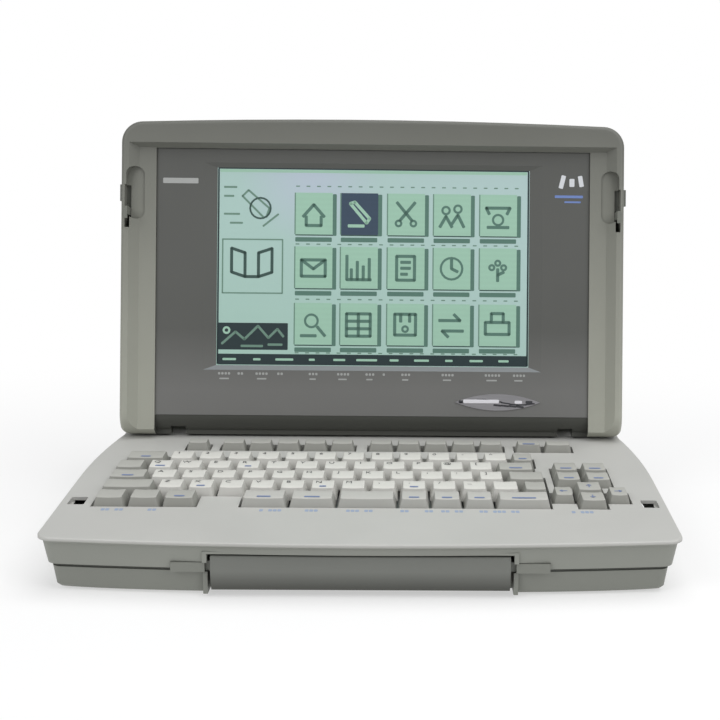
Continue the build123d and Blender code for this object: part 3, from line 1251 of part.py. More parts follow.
# ---------------------------------------------------------------- electronics, drive and small controls
with BuildPart() as main_board:
    board_x = (BOARD_X - BOARD_WIDTH / 2, BOARD_X + BOARD_WIDTH / 2)
    board_y = (BOARD_Y - BOARD_DEPTH / 2, BOARD_Y + BOARD_DEPTH / 2)
    block(board_x, board_y, (BOARD_Z, BOARD_Z + BOARD))
    top = BOARD_Z + BOARD
    for x, y, wide, deep, tall in (
        (-100, 20, 28, 28, 2.6),
        (-55, 24, 24, 24, 2.4),
        (-20, 24, 14, 34, 3.0),
        (-100, -24, 34, 13, 4.2),
        (-60, -24, 34, 13, 4.2),
        (-22, -26, 30, 10, 4.2),
        (-80, 50, 60, 6, 6.0),
    ):
        block((x - wide / 2, x + wide / 2), (y - deep / 2, y + deep / 2), (top, top + tall))
save(main_board.part, "main_board")

with BuildPart() as floppy_drive:
    drive_x = (drive_right - DRIVE_DEPTH, drive_right)
    drive_y = (DRIVE_FRONT, DRIVE_FRONT + DRIVE_WIDTH)
    bezel_z = (DRIVE_BOTTOM + 2.4, DRIVE_BOTTOM + DRIVE_HEIGHT - 1)
    block(drive_x, drive_y, (DRIVE_BOTTOM, DRIVE_BOTTOM + DRIVE_HEIGHT))
    block((drive_right, BEZEL_FACE), drive_y, bezel_z)
    mouth = (drive_y[0] + 4, drive_y[1] - 4)
    block((drive_right - 92, BEZEL_FACE + 1), mouth, (DRIVE_BOTTOM + 9.4, DRIVE_BOTTOM + 13.3), Mode.SUBTRACT)
    button_y = drive_y[1] - 16
    block(
        (BEZEL_FACE - 9, BEZEL_FACE + 1),
        (button_y - 6 - FIT, button_y + 6 + FIT),
        (DRIVE_BOTTOM + 3.4 - FIT, DRIVE_BOTTOM + 8 + FIT),
        Mode.SUBTRACT,
    )
save(floppy_drive.part, "floppy_drive")

with BuildPart() as eject_button:
    block((BEZEL_FACE - 4, BEZEL_FACE + 2.6), (button_y - 6, button_y + 6), (DRIVE_BOTTOM + 3.4, DRIVE_BOTTOM + 8))
save(eject_button.part, "eject_button")

with BuildPart() as dc_jack:
    jack_back = REAR - RIM_INSET - WALL - 2.2
    block((JACK_X - 7, JACK_X + 7), (jack_back - 12, jack_back), (JACK_Z - 6, JACK_Z + 6))
    back_plane = Plane((0, jack_back - 9, 0), x_dir=(1, 0, 0), z_dir=(0, 1, 0))
    rod(back_plane, (JACK_X, -JACK_Z), 3.2, 12, Mode.SUBTRACT)
    rod(back_plane, (JACK_X, -JACK_Z), 1.0, 8)
    block((JACK_X - 6, JACK_X + 6), (jack_back - 12, jack_back - 4), (FLOOR, JACK_Z - 6))
save(dc_jack.part, "dc_jack")

with BuildPart() as power_switch:
    block((-SIDE - 1.8, -SIDE + 4.4), (SWITCH_Y - 4, SWITCH_Y + 4), (SWITCH_Z - 3.9, SWITCH_Z + 3.9))
    block((-SIDE + 4.4, -SIDE + 5.8), (SWITCH_Y - 7, SWITCH_Y + 7), (SWITCH_Z - 6, SWITCH_Z + 6))
save(power_switch.part, "power_switch")

with BuildPart() as contrast_dial:
    with BuildSketch(Plane((dial_x, DIAL_Y, DIAL_Z - DIAL_THICKNESS / 2))):
        Circle(DIAL_RADIUS)
        with PolarLocations(DIAL_RADIUS + 0.5, 24):
            Circle(0.9, mode=Mode.SUBTRACT)
        Circle(DIAL_PIN / 2 + RUNNING, mode=Mode.SUBTRACT)
    extrude(amount=DIAL_THICKNESS)
save(contrast_dial.part, "contrast_dial")

with BuildPart() as case_screws:
    with Locations(*[(x, y, FOOT_HEIGHT + 0.4) for x, y in SCREW_PLACES]):
        Cylinder(2.8, 1.2, align=(Align.CENTER, Align.CENTER, Align.MIN))
    with Locations(*[(x, y, FOOT_HEIGHT + 1.6) for x, y in SCREW_PLACES]):
        Cylinder(SCREW_RADIUS, 18, align=(Align.CENTER, Align.CENTER, Align.MIN))
save(case_screws.part, "case_screws")

with BuildPart() as rubber_feet:
    with Locations(*[(x, y, 0) for x, y in FOOT_PLACES]):
        Cylinder(FOOT_RADIUS, FOOT_HEIGHT, align=(Align.CENTER, Align.CENTER, Align.MIN))
    chamfer(rubber_feet.faces().group_by(Axis.Z)[0].edges(), 0.6)
save(rubber_feet.part, "rubber_feet")
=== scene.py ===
import math
import bmesh
import bpy
from mathutils import Matrix, Vector


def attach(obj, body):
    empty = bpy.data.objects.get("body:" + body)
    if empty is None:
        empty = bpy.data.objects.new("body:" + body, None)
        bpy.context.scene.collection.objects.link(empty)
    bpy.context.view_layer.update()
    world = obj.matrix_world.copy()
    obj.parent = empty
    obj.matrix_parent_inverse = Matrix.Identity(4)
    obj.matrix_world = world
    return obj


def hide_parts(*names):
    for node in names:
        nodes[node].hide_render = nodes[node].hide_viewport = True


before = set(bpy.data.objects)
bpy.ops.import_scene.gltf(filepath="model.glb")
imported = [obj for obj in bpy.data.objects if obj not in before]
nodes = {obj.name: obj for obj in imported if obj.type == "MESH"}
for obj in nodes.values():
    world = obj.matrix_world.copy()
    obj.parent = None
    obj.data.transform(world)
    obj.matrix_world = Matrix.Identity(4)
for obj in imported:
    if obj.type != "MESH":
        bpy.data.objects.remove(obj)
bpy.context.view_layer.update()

# ---------------------------------------------------------------- camera
# The photo was taken from just above the lid's height with a longish lens, a little to the right of the
# middle and cropped off centre.
eye = Vector((0.0275, -0.8360, 0.2637))
yaw, pitch, roll = math.radians(1.31), math.radians(11.08), math.radians(0.73)
ahead = Vector((math.sin(yaw) * math.cos(pitch), math.cos(yaw) * math.cos(pitch), -math.sin(pitch)))
level = ahead.cross(Vector((0, 0, 1))).normalized()
over = level.cross(ahead)
right = level * math.cos(roll) + over * math.sin(roll)
up = over * math.cos(roll) - level * math.sin(roll)
bpy.ops.object.select_all(action="DESELECT")
bpy.ops.object.camera_add(location=eye)
camera = bpy.context.object
camera.matrix_world = Matrix.Translation(eye) @ Matrix((right, up, -ahead)).transposed().to_4x4()
camera.data.sensor_width = 36
camera.data.lens = 67.26
camera.data.shift_x = -0.11625
camera.data.shift_y = 0.0119
camera.data.clip_start = 0.01
bpy.context.scene.camera = camera

# ---------------------------------------------------------------- studio
# A sheet of white paper lies under the machine in a white surround. Two wide soft boxes stand at the front
# and a larger one hangs overhead, which leaves only a faint shadow under the case.


def colour(code):
    """An sRGB hex colour as the linear values that a shader takes."""
    parts = [int(code[i : i + 2], 16) / 255 for i in (1, 3, 5)]
    return [c / 12.92 if c <= 0.04045 else ((c + 0.055) / 1.055) ** 2.4 for c in parts] + [1.0]


def add_node(tree, kind, settings=None, links=None):
    """Adds a shader node, with its own settings, its sockets' values and its links."""
    made = tree.nodes.new(kind)
    for key, value in (settings or {}).items():
        if isinstance(key, int) or key in made.inputs:
            made.inputs[key].default_value = value
        else:
            setattr(made, key, value)
    for key, source in (links or {}).items():
        tree.links.new(source, made.inputs[key])
    return made


def new_material(name):
    """An empty node material, and its tree."""
    material = bpy.data.materials.new(name)
    material.use_nodes = True
    material.node_tree.nodes.clear()
    return material, material.node_tree


def finish_material(tree, shader):
    """Joins the shader to the material's output."""
    add_node(tree, "ShaderNodeOutputMaterial", links={"Surface": shader.outputs[0]})


def own_place(tree):
    """A piece's own coordinates, to which its texture stays fixed."""
    return add_node(tree, "ShaderNodeTexCoord").outputs["Object"]


bpy.ops.mesh.primitive_plane_add(size=2.4, location=(0, -0.2, 0))
floor = bpy.context.object
floor.name = "floor"
paper, tree = new_material("white background paper")
# Paper is quite matt. It lies on a light table, which shows through it more and more from 0.3 to 0.8 m away
# from its middle, so that it fades to the white surround
away = add_node(tree, "ShaderNodeVectorMath", {"operation": "LENGTH"}, {0: own_place(tree)})
fade = add_node(
    tree,
    "ShaderNodeMapRange",
    {"interpolation_type": "SMOOTHSTEP", "From Min": 0.3, "From Max": 0.8, "To Min": 0.5},
    {"Value": away.outputs["Value"]},
)
matt = add_node(tree, "ShaderNodeBsdfDiffuse", {"Color": colour("#FEFEFE")})
lit = add_node(tree, "ShaderNodeEmission", {"Color": (1, 1, 1, 1), "Strength": 1.0})
finish_material(
    tree,
    add_node(tree, "ShaderNodeMixShader", links={0: fade.outputs[0], 1: matt.outputs[0], 2: lit.outputs[0]}),
)
floor.data.materials.append(paper)

for name, place, size, power, aim in (
    ("soft_box_left", (-1.5, -1.6, 1.5), 1.4, 17, (0, 0, 0.1)),
    ("soft_box_right", (1.6, -1.5, 1.3), 1.4, 13, (0, 0, 0.1)),
    ("soft_box_top", (0.45, -0.1, 1.9), 2.0, 24.5, (0, 0, 0)),
):
    bpy.ops.object.light_add(type="AREA", location=place)
    lamp = bpy.context.object
    lamp.name = name
    lamp.data.shape = "SQUARE"
    lamp.data.size = size
    lamp.data.energy = power
    lamp.rotation_euler = (Vector(place) - Vector(aim)).to_track_quat("Z", "Y").to_euler()

world = bpy.data.worlds.new("studio")
world.use_nodes = True
bpy.context.scene.world = world
tree = world.node_tree
tree.nodes.clear()
path = add_node(tree, "ShaderNodeLightPath")
around = add_node(tree, "ShaderNodeBackground", {"Color": colour("#F4F5F7"), "Strength": 0.34})
behind = add_node(tree, "ShaderNodeBackground", {"Color": (1, 1, 1, 1), "Strength": 1.0})
choice = add_node(
    tree,
    "ShaderNodeMixShader",
    links={0: path.outputs["Is Camera Ray"], 1: around.outputs[0], 2: behind.outputs[0]},
)
add_node(tree, "ShaderNodeOutputWorld", links={"Surface": choice.outputs[0]})
bpy.context.scene.view_settings.view_transform = "Standard"

# ---------------------------------------------------------------- case halves and printer cover
# The two case halves and the cover over the printer are injection-moulded ABS in a mid grey. They are
# screwed together from below, and the tool's fine spark-eroded grain takes the shine off them.


def noise(tree, vector, scale, detail):
    """Cloudy noise, with this many clouds to the metre."""
    settings = {"Scale": scale, "Detail": detail}
    return add_node(tree, "ShaderNodeTexNoise", settings, {"Vector": vector}).outputs[0]


def spread(tree, value, low, high, start=0.0, end=1.0):
    """Turns a value that runs from start to end into one that runs from low to high."""
    limits = {"From Min": start, "From Max": end, "To Min": low, "To Max": high}
    return add_node(tree, "ShaderNodeMapRange", limits, {"Value": value}).outputs[0]


def blend(tree, share, first, second):
    """Mixes two colours, each of them either a fixed one or another node's output."""
    values, links = {"data_type": "RGBA"}, {0: share}
    for socket, given in ((6, first), (7, second)):
        (links if isinstance(given, bpy.types.NodeSocket) else values)[socket] = given
    return add_node(tree, "ShaderNodeMix", values, links).outputs[2]


def surface(tree, values, links):
    """Ends a material with the usual surface shader."""
    finish_material(tree, add_node(tree, "ShaderNodeBsdfPrincipled", values, links))


def moulded(name, code, gloss=0.5, grain=0.05, drift=0.05, top=None, span=(0.0, 1.0)):
    """Moulded plastic with a spark-eroded grain. The grain is drawn at 0.8 mm where the real one is 0.2 mm,
    because it would otherwise be lost between pixels; the colour drifts slightly over some centimetres, and
    where top is given, it runs to that colour between two heights, which paints light and shade on it."""
    material, tree = new_material(name)
    place = own_place(tree)
    heights = add_node(tree, "ShaderNodeSeparateXYZ", links={"Vector": place})
    climb = spread(tree, heights.outputs["Z"], 0.0, 1.0, start=span[0], end=span[1])
    base = blend(tree, climb, colour(code), colour(top or code))
    cloud = noise(tree, place, scale=22.0, detail=3.0)
    shade = spread(tree, cloud, 1 - drift, 1 + drift)
    tint = add_node(tree, "ShaderNodeVectorMath", {"operation": "SCALE"}, {0: base, "Scale": shade})
    pits = noise(tree, place, scale=1250.0, detail=2.0)
    relief = add_node(tree, "ShaderNodeBump", {"Strength": grain, "Distance": 0.0003}, {"Height": pits})
    wear = spread(tree, cloud, gloss - 0.05, gloss + 0.06)
    surface(
        tree,
        {"Specular IOR Level": 0.4},
        {"Base Color": tint.outputs[0], "Roughness": wear, "Normal": relief.outputs[0]},
    )
    return material


def only(obj):
    """Makes a piece the only selected one, and the active one."""
    bpy.ops.object.select_all(action="DESELECT")
    obj.select_set(True)
    bpy.context.view_layer.objects.active = obj


def dress(obj, material, edge=0.0):
    """Gives a piece its material. A moulded or sheet piece also gets a small round on its sharp edges."""
    obj.data.materials.clear()
    obj.data.materials.append(material)
    only(obj)
    if edge:
        rounded = obj.modifiers.new("edge", "BEVEL")
        rounded.width = edge
        rounded.segments = 2
        rounded.limit_method = "ANGLE"
        rounded.angle_limit = math.radians(40)
    bpy.ops.object.shade_smooth_by_angle(angle=math.radians(32))


case_plastic = moulded("moulded ABS, mid grey", "#8B8D86", gloss=0.5)
for name in ("upper_case", "printer_cover"):
    dress(nodes[name], case_plastic, edge=0.0003)
# The lower half's tongue, which shows in the groove between the halves, is painted dark: painted shade under
# the upper half's overhang
base_plastic_with_groove_shade = moulded(
    "moulded ABS, mid grey base, painted groove shade", "#80827B", gloss=0.5, top="#595B55", span=(0.0142, 0.0146)
)
dress(nodes["lower_case"], base_plastic_with_groove_shade, edge=0.0003)

# ---------------------------------------------------------------- keyboard deck
# The deck is one light grey ABS moulding that drops over the case walls. Its surface has the same fine
# grain, and its lip is painted darker: painted shade under the deck's edge. Rows of pale blue dashes are
# printed in front of the first row of keys.
# Light grey above the lip, painted darker on the lip as painted shade under the overhanging edge
deck_plastic_with_lip_shade = moulded(
    "moulded ABS, light grey, painted lip shade", "#85857F", gloss=0.48, top="#C1C1BD", span=(0.0296, 0.0324)
)
dress(nodes["deck_cover"], deck_plastic_with_lip_shade, edge=0.0003)

# The front of the deck's plane, and its slope
DECK_AT = (0, -0.148, 0.0325)
DECK_TILT = math.radians(3.0)


def lay(obj, origin, tilt):
    """Turns a piece that was modelled flat about X, moves it to its place and applies that."""
    only(obj)
    obj.matrix_world = Matrix.Translation(origin) @ Matrix.Rotation(tilt, 4, "X") @ obj.matrix_world
    bpy.ops.object.transform_apply(location=True, rotation=True, scale=True)


def edit(obj):
    """Opens a piece for editing, with nothing selected."""
    only(obj)
    bpy.ops.object.mode_set(mode="EDIT")
    bpy.ops.mesh.select_all(action="DESELECT")


def choose(obj, kind, test):
    """In edit mode, selects only the vertices, edges or faces that pass a test."""
    bpy.ops.mesh.select_mode(type=kind)
    bpy.ops.mesh.select_all(action="DESELECT")
    mesh = bmesh.from_edit_mesh(obj.data)
    for item in {"VERT": mesh.verts, "EDGE": mesh.edges, "FACE": mesh.faces}[kind]:
        if test(item):
            item.select_set(True)
    mesh.select_flush_mode()
    bmesh.update_edit_mesh(obj.data)


def done():
    """Turns the faces outward and leaves edit mode."""
    bpy.ops.mesh.select_all(action="SELECT")
    bpy.ops.mesh.normals_make_consistent(inside=False)
    bpy.ops.object.mode_set(mode="OBJECT")


def join(pieces, name):
    """Joins pieces into one, under a name."""
    bpy.ops.object.select_all(action="DESELECT")
    for piece in pieces:
        piece.select_set(True)
    bpy.context.view_layer.objects.active = pieces[0]
    if len(pieces) > 1:
        bpy.ops.object.join()
    joined = bpy.context.object
    joined.name = name
    bpy.ops.object.transform_apply(location=True, rotation=True, scale=True)
    return joined


def dash(x, y, width, height, low, high, turn=0.0):
    """A flat printed or moulded dash with its corners taken off, in millimetres."""
    # 22% of the narrow side, and at most 0.4 mm
    corner = min(min(width, height) * 0.00022, 0.0004)
    bpy.ops.object.select_all(action="DESELECT")
    bpy.ops.mesh.primitive_plane_add(size=1, location=(x / 1000, y / 1000, low / 1000), rotation=(0, 0, turn))
    piece = bpy.context.object
    piece.scale = (width / 1000, height / 1000, 1)
    bpy.ops.object.transform_apply(location=False, rotation=False, scale=True)
    edit(piece)
    bpy.ops.mesh.select_all(action="SELECT")
    bpy.ops.mesh.bevel(offset=corner, segments=1, affect="VERTICES")
    bpy.ops.mesh.select_all(action="SELECT")
    bpy.ops.mesh.extrude_region_move(TRANSFORM_OT_translate={"value": (0, 0, (high - low) / 1000)})
    done()
    return piece


def ink(name, code):
    """Screen-printed ink: thin, even and a little glossier than the plastic under it. The badge's painted
    highlight uses it too.
    """
    material, tree = new_material(name)
    weave = noise(tree, own_place(tree), scale=900.0, detail=1.0)
    surface(tree, {"Base Color": colour(code)}, {"Roughness": spread(tree, weave, 0.35, 0.5)})
    return material


pale_blue_ink = ink("screen-printed ink, pale blue", "#98A8C2")
# How far up the deck the dashes lie, and the step from one to the next, in millimetres
LABEL_UP = 52.6
LABEL_STEP = 2.6
labels = []
for left, right_end in (
    (-60, -44), (-34, -23), (-13, 4), (18, 26), (32, 41),
    (44, 57), (66, 90), (119, 134), (-150, -138), (-126, -118),
):
    dashes = max(2, round((right_end - left) / LABEL_STEP))
    for k in range(dashes):
        # Some places stay empty
        if (k + dashes) % 4 != 3:
            labels.append(dash(left + 1.1 + LABEL_STEP * k, LABEL_UP, 2.1, 3.4, 0.0, 0.06))
deck_labels = join(labels, "deck_labels")
deck_labels.data.materials.append(pale_blue_ink)
lay(deck_labels, DECK_AT, DECK_TILT)
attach(deck_labels, "body")

# ---------------------------------------------------------------- keycaps
# The caps are moulded PBT in off-white and grey. Each has a plain skirt, a crown that stands in from it and
# a shallow dish for the finger, and a square stem that slides in the plate. Like caps share one shape.

# In metres: the step between keys and between rows, the gap between caps and where the first row starts
PITCH = 0.018
ROW = 0.0185
GAP = 0.001
FRONT_ROW = 0.0575
# A cap's crown above the deck, its height, and how much the crown is smaller than the foot and set back
CROWN_UP = 0.005
CAP_HEIGHT = 0.0074
TAPER = 0.004
SET_BACK = 0.0004
# The stem's side and length, and the width from which a cap has no stem in its middle
STEM = 0.004
STEM_LENGTH = 0.0037
WIDE_CAP = 0.033
white_cap = moulded("moulded PBT, off-white", "#DEDDD7", gloss=0.42, grain=0.03, drift=0.02)
grey_cap = moulded("moulded PBT, light grey", "#B6B6B0", gloss=0.42, grain=0.03, drift=0.03)
first_row_cap = moulded("moulded PBT, off-white, first row", "#C5C4BF", gloss=0.42, grain=0.03, drift=0.02)
# The skirts are painted darker than the crowns, most of all in the first row: painted shade on the caps'
# sides and in the gaps between them, so they have shades of their own
white_skirt_shade = moulded("moulded PBT, off-white skirts", "#C2C1BC", gloss=0.5, grain=0.03, drift=0.02)
first_row_skirt_shade = moulded(
    "moulded PBT, off-white skirts, first row", "#A9A9A4", gloss=0.5, grain=0.03, drift=0.02
)
grey_skirt_shade = moulded("moulded PBT, light grey skirts", "#93938D", gloss=0.5, grain=0.03, drift=0.03)


def keycap(width, depth):
    """One cap at the origin of the deck's plane. Its crown is 5 mm above the deck, its foot 2.4 mm below."""
    crown_width, crown_depth = width - TAPER, depth - TAPER
    bpy.ops.object.select_all(action="DESELECT")
    bpy.ops.mesh.primitive_grid_add(
        x_subdivisions=6, y_subdivisions=3, size=1, location=(0, SET_BACK, CROWN_UP)
    )
    cap = bpy.context.object
    cap.scale = (crown_width, crown_depth, 1)
    bpy.ops.object.transform_apply(location=True, rotation=False, scale=True)
    edit(cap)
    # The dish runs from front to back
    for share, sink in ((0.4, 0.00016), (0.25, 0.00011), (0.1, 0.00005)):
        choose(cap, "VERT", lambda v: abs(v.co.x) < share * crown_width)
        bpy.ops.transform.translate(value=(0, 0, -sink))
    # The skirt widens to the foot
    choose(cap, "EDGE", lambda e: len(e.link_faces) == 1)
    bpy.ops.mesh.extrude_region_move(TRANSFORM_OT_translate={"value": (0, -SET_BACK, -CAP_HEIGHT)})
    bpy.ops.transform.resize(value=(width / crown_width, depth / crown_depth, 0))
    bpy.ops.mesh.edge_face_add()
    bpy.ops.mesh.select_all(action="SELECT")
    bpy.ops.mesh.normals_make_consistent(inside=False)
    choose(
        cap,
        "EDGE",
        lambda e: abs(e.verts[0].co.z - e.verts[1].co.z) > 0.005
        and max(abs(v.co.x) for v in e.verts) > 0.49 * width
        and max(abs(v.co.y) for v in e.verts) > 0.49 * depth,
    )
    bpy.ops.mesh.bevel(offset=0.0011, segments=2, affect="EDGES")
    choose(
        cap,
        "EDGE",
        lambda e: min(v.co.z for v in e.verts) > 0.004
        and len(e.link_faces) == 2
        and min(f.normal.z for f in e.link_faces) < 0.7 < max(f.normal.z for f in e.link_faces),
    )
    bpy.ops.mesh.bevel(offset=0.0004, segments=2, affect="EDGES")
    if width < WIDE_CAP:
        # The stem goes down through the plate
        choose(cap, "FACE", lambda f: f.normal.z < -0.9)
        bpy.ops.mesh.extrude_region_move(TRANSFORM_OT_translate={"value": (0, 0, -0.00001)})
        bpy.ops.transform.resize(value=(STEM / width, STEM / depth, 1))
        bpy.ops.mesh.extrude_region_move(TRANSFORM_OT_translate={"value": (0, 0, -STEM_LENGTH)})
    done()
    # Faces that do not look up take the second material: the skirt, painted darker as shade
    for face in cap.data.polygons:
        face.material_index = 0 if face.normal.z > 0.6 else 1
    bpy.ops.object.shade_smooth_by_angle(angle=math.radians(30))
    return cap


def row_places(groups, front, depth=ROW):
    """The middle of each key in a row and its size, less the gap between keys."""
    places = []
    for left, widths in groups:
        for width in widths:
            middle = left / 1000 + width * PITCH / 2
            places.append((middle, front + depth / 2, width * PITCH - GAP, depth - GAP))
            left += width * PITCH * 1000
    return places


# The middle of the two cursor keys that stand above each other
CURSOR_X = 0.1328
# Each row's keys, as where a run of keys starts (in mm) and their widths in steps, and which of them are grey
cap_rows = {
    "command_keys": (
        row_places(
            [(-157, [1.1, 1.1, 1.15]), (-72.4, [1.55, 1.55]), (18.9, [1.06, 1.06, 1.04, 1.83])], FRONT_ROW
        ),
        (0, 1, 2),
    ),
    "space_bar": (row_places([(-16.6, [1.97])], FRONT_ROW), ()),
    "left_shift_key": (row_places([(-157, [1.8])], FRONT_ROW + ROW), (0,)),
    "lower_letter_keys": (row_places([(-124.6, [1.0] * 11 + [1.05])], FRONT_ROW + ROW), ()),
    "right_shift_key": (row_places([(92.3, [0.93])], FRONT_ROW + ROW), (0,)),
    "home_letter_keys": (row_places([(-157, [1.4] + [1.0] * 12)], FRONT_ROW + 2 * ROW), (0,)),
    "return_key": (row_places([(84.2, [1.38])], FRONT_ROW + 2 * ROW), (0,)),
    "upper_letter_keys": (row_places([(-157, [1.1] + [1.0] * 12 + [1.4])], FRONT_ROW + 3 * ROW), (0, 13)),
    "number_keys": (row_places([(-154, [1.5] + [1.0] * 12 + [0.9])], FRONT_ROW + 4 * ROW), (0, 13)),
    "function_keys": (
        row_places(
            [(-121, [0.92]), (-98.4, [0.985] * 5), (-2.3, [1.0] * 5), (94, [1.05, 1.1])],
            front=0.1645,
            depth=0.013,
        ),
        tuple(range(13)),
    ),
    "edit_keys": (
        [place for r in (2, 3) for place in row_places([(113.5, [1.0, 1.0])], FRONT_ROW + r * ROW)],
        (0, 1, 2, 3),
    ),
    "cursor_up_key": ([(CURSOR_X, FRONT_ROW + 1.5 * ROW, 0.017, ROW - GAP)], (0,)),
    "cursor_down_key": ([(CURSOR_X, FRONT_ROW + 0.5 * ROW, 0.017, ROW - GAP)], (0,)),
    "cursor_left_key": ([(0.1166, FRONT_ROW + ROW, 0.0134, ROW - GAP)], (0,)),
    "cursor_right_key": ([(0.149, FRONT_ROW + ROW, 0.0134, ROW - GAP)], (0,)),
}
cap_shapes = {}
for row_name, (places, greys) in cap_rows.items():
    caps = []
    first_row = row_name in ("command_keys", "space_bar")
    pale_shades = (first_row_cap, first_row_skirt_shade) if first_row else (white_cap, white_skirt_shade)
    for k, (x, y, width, depth) in enumerate(places):
        size = (round(width, 5), round(depth, 5))
        if size not in cap_shapes:
            cap_shapes[size] = keycap(*size)
        cap = cap_shapes[size].copy()
        cap.data = cap_shapes[size].data.copy()
        bpy.context.collection.objects.link(cap)
        for material in (grey_cap, grey_skirt_shade) if k in greys else pale_shades:
            cap.data.materials.append(material)
        cap.matrix_world = Matrix.Translation((x, y, 0))
        caps.append(cap)
    if row_name == "space_bar":
        # The wide bar is guided by two stems, one on either side of its middle
        for side in (-1, 1):
            stem = dash(x * 1000 + side * 8.865, y * 1000, 4, 4, -6.1, -2.4)
            stem.data.materials.append(first_row_skirt_shade)
            caps.append(stem)
    row = join(caps, row_name.replace("_keys", "").replace("_key", "") + "_caps")
    lay(row, DECK_AT, DECK_TILT)
    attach(row, row_name)
    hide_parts(row_name)
for shape in cap_shapes.values():
    bpy.data.objects.remove(shape, do_unlink=True)

# ---------------------------------------------------------------- key legends
# Letters and figures are sublimated into the caps in dark grey, with small blue marks for the second
# functions. Only plain characters are used here.
dark_ink = ink("dye-sublimated legend, dark grey", "#4A4C4E")
blue_ink = ink("dye-sublimated legend, blue", "#7787B0")


def legend(word, x, y, size):
    """Characters printed flat on a crown, as a mesh. All in metres, on the deck's plane."""
    bpy.ops.object.select_all(action="DESELECT")
    bpy.ops.object.text_add(location=(x, y, 0.0049))
    text = bpy.context.object
    text.data.body = word
    text.data.size = size
    text.data.align_x = "CENTER"
    text.data.align_y = "CENTER"
    text.data.resolution_u = 2
    text.data.extrude = 0.00002
    bpy.ops.object.convert(target="MESH")
    return bpy.context.object


words = {
    "number_keys": [""] + list("1234567890-^") + [""],
    "upper_letter_keys": [""] + list("QWERTYUIOP@[") + [""],
    "home_letter_keys": [""] + list("ASDFGHJKL;:]"),
    "lower_letter_keys": list("ZXCVBNM,./") + ["_", ""],
}
for row_name, letters in words.items():
    prints = []
    for (x, y, *_), letter in zip(cap_rows[row_name][0], letters):
        if letter:
            # Up and left of the crown's middle
            prints.append(legend(letter, x - 0.0028, y + 0.0034, size=0.0052))
    printed = join(prints, row_name.replace("_keys", "") + "_legends")
    printed.data.materials.clear()
    printed.data.materials.append(dark_ink)
    lay(printed, DECK_AT, DECK_TILT)
    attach(printed, row_name)

# Where the marks start and end above the deck, in millimetres
MARK_LOW, MARK_HIGH = 4.86, 4.94
# Small blue marks near the front of the crowns: (key in its row, width)
marks = {
    "command_keys": [(2, 6), (3, 8), (4, 9), (5, 6), (6, 6), (7, 6), (8, 14)],
    "home_letter_keys": [(0, 7)],
    "lower_letter_keys": [(1, 5), (5, 4), (8, 5)],
    "edit_keys": [(0, 6), (1, 6), (2, 7), (3, 7)],
    "function_keys": [(11, 8)],
    "upper_letter_keys": [(1, 6), (4, 4), (13, 8)],
    "number_keys": [(0, 6), (13, 5)],
}
for row_name, list_of_marks in marks.items():
    prints = []
    for index, width in list_of_marks:
        x, y, _, depth = cap_rows[row_name][0][index]
        prints.append(dash(x * 1000, y * 1000 - depth * 220, width, 1.9, MARK_LOW, MARK_HIGH))
    printed = join(prints, row_name.replace("_keys", "") + "_marks")
    printed.data.materials.append(blue_ink)
    lay(printed, DECK_AT, DECK_TILT)
    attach(printed, row_name)

# The cursor keys' arrows: a shaft and two barbs that start at its head
SHAFT, BARB, LINE = 4.6, 2.2, 0.7
ARROW_LOW, ARROW_HIGH = 4.80, 4.92
for row_name, turn in (
    ("cursor_up_key", 90), ("cursor_down_key", -90), ("cursor_left_key", 180), ("cursor_right_key", 0),
):
    x, y = (1000 * value for value in cap_rows[row_name][0][0][:2])
    head_x = x + math.cos(math.radians(turn)) * BARB
    head_y = y + math.sin(math.radians(turn)) * BARB
    shaft = dash(x, y, SHAFT, LINE, ARROW_LOW, ARROW_HIGH, math.radians(turn))
    barbs = []
    for lean in (-40, 40):
        way = math.radians(turn + lean)
        back_x, back_y = math.cos(way) * BARB / 2, math.sin(way) * BARB / 2
        barbs.append(dash(head_x - back_x, head_y - back_y, BARB, LINE, ARROW_LOW, ARROW_HIGH, way))
    arrow = join([shaft] + barbs, row_name.replace("_key", "") + "_arrow")
    arrow.data.materials.append(blue_ink)
    lay(arrow, DECK_AT, DECK_TILT)
    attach(arrow, row_name)

# ---------------------------------------------------------------- keyboard plate, tray and membrane
# A pressed zinc-plated plate guides the stems, a folded tray closes the module from below, and a printed
# polyester membrane lies on the tray's floor.


def sheet_metal(name, code, rough):
    """Plated sheet: the rolling direction shows as faint streaks along X, drawn 2 mm wide so that they show
    at this distance."""
    material, tree = new_material(name)
    stretched = add_node(
        tree, "ShaderNodeMapping", {"Scale": (18.0, 480.0, 480.0)}, {"Vector": own_place(tree)}
    )
    streaks = noise(tree, stretched.outputs[0], scale=1.0, detail=3.0)
    polish = spread(tree, streaks, rough - 0.1, rough + 0.12)
    surface(tree, {"Base Color": colour(code), "Metallic": 1.0}, {"Roughness": polish})
    return material


zinc = sheet_metal("zinc-plated steel sheet", "#A9ACAE", 0.38)
for name in ("keyboard_plate", "keyboard_tray", "printer_chassis", "printer_side_plates", "lcd_module"):
    dress(nodes[name], zinc, edge=0.0001)

film, tree = new_material("polyester film, printed circuit")
# The silver tracks under the film show as faint parallel lines
tracks = add_node(
    tree,
    "ShaderNodeTexWave",
    {"wave_type": "BANDS", "bands_direction": "Y", "Scale": 90.0, "Distortion": 0.4},
    {"Vector": own_place(tree)},
)
silver = blend(tree, tracks.outputs[1], colour("#AEB3B0"), colour("#8F9594"))
surface(tree, {"Roughness": 0.3}, {"Base Color": silver})
dress(nodes["membrane_sheet"], film)

# ---------------------------------------------------------------- lid shells
# The lid is a back shell and a front frame, both ABS. The frame's rails stand proud of the dark panel and
# slope down to it. The frame is painted paler than the case at its foot, painted light from the deck, and
# darker along its rim, painted shade.
dress(nodes["lid_back_shell"], moulded("moulded ABS, lid back", "#83857E", gloss=0.46), edge=0.0003)
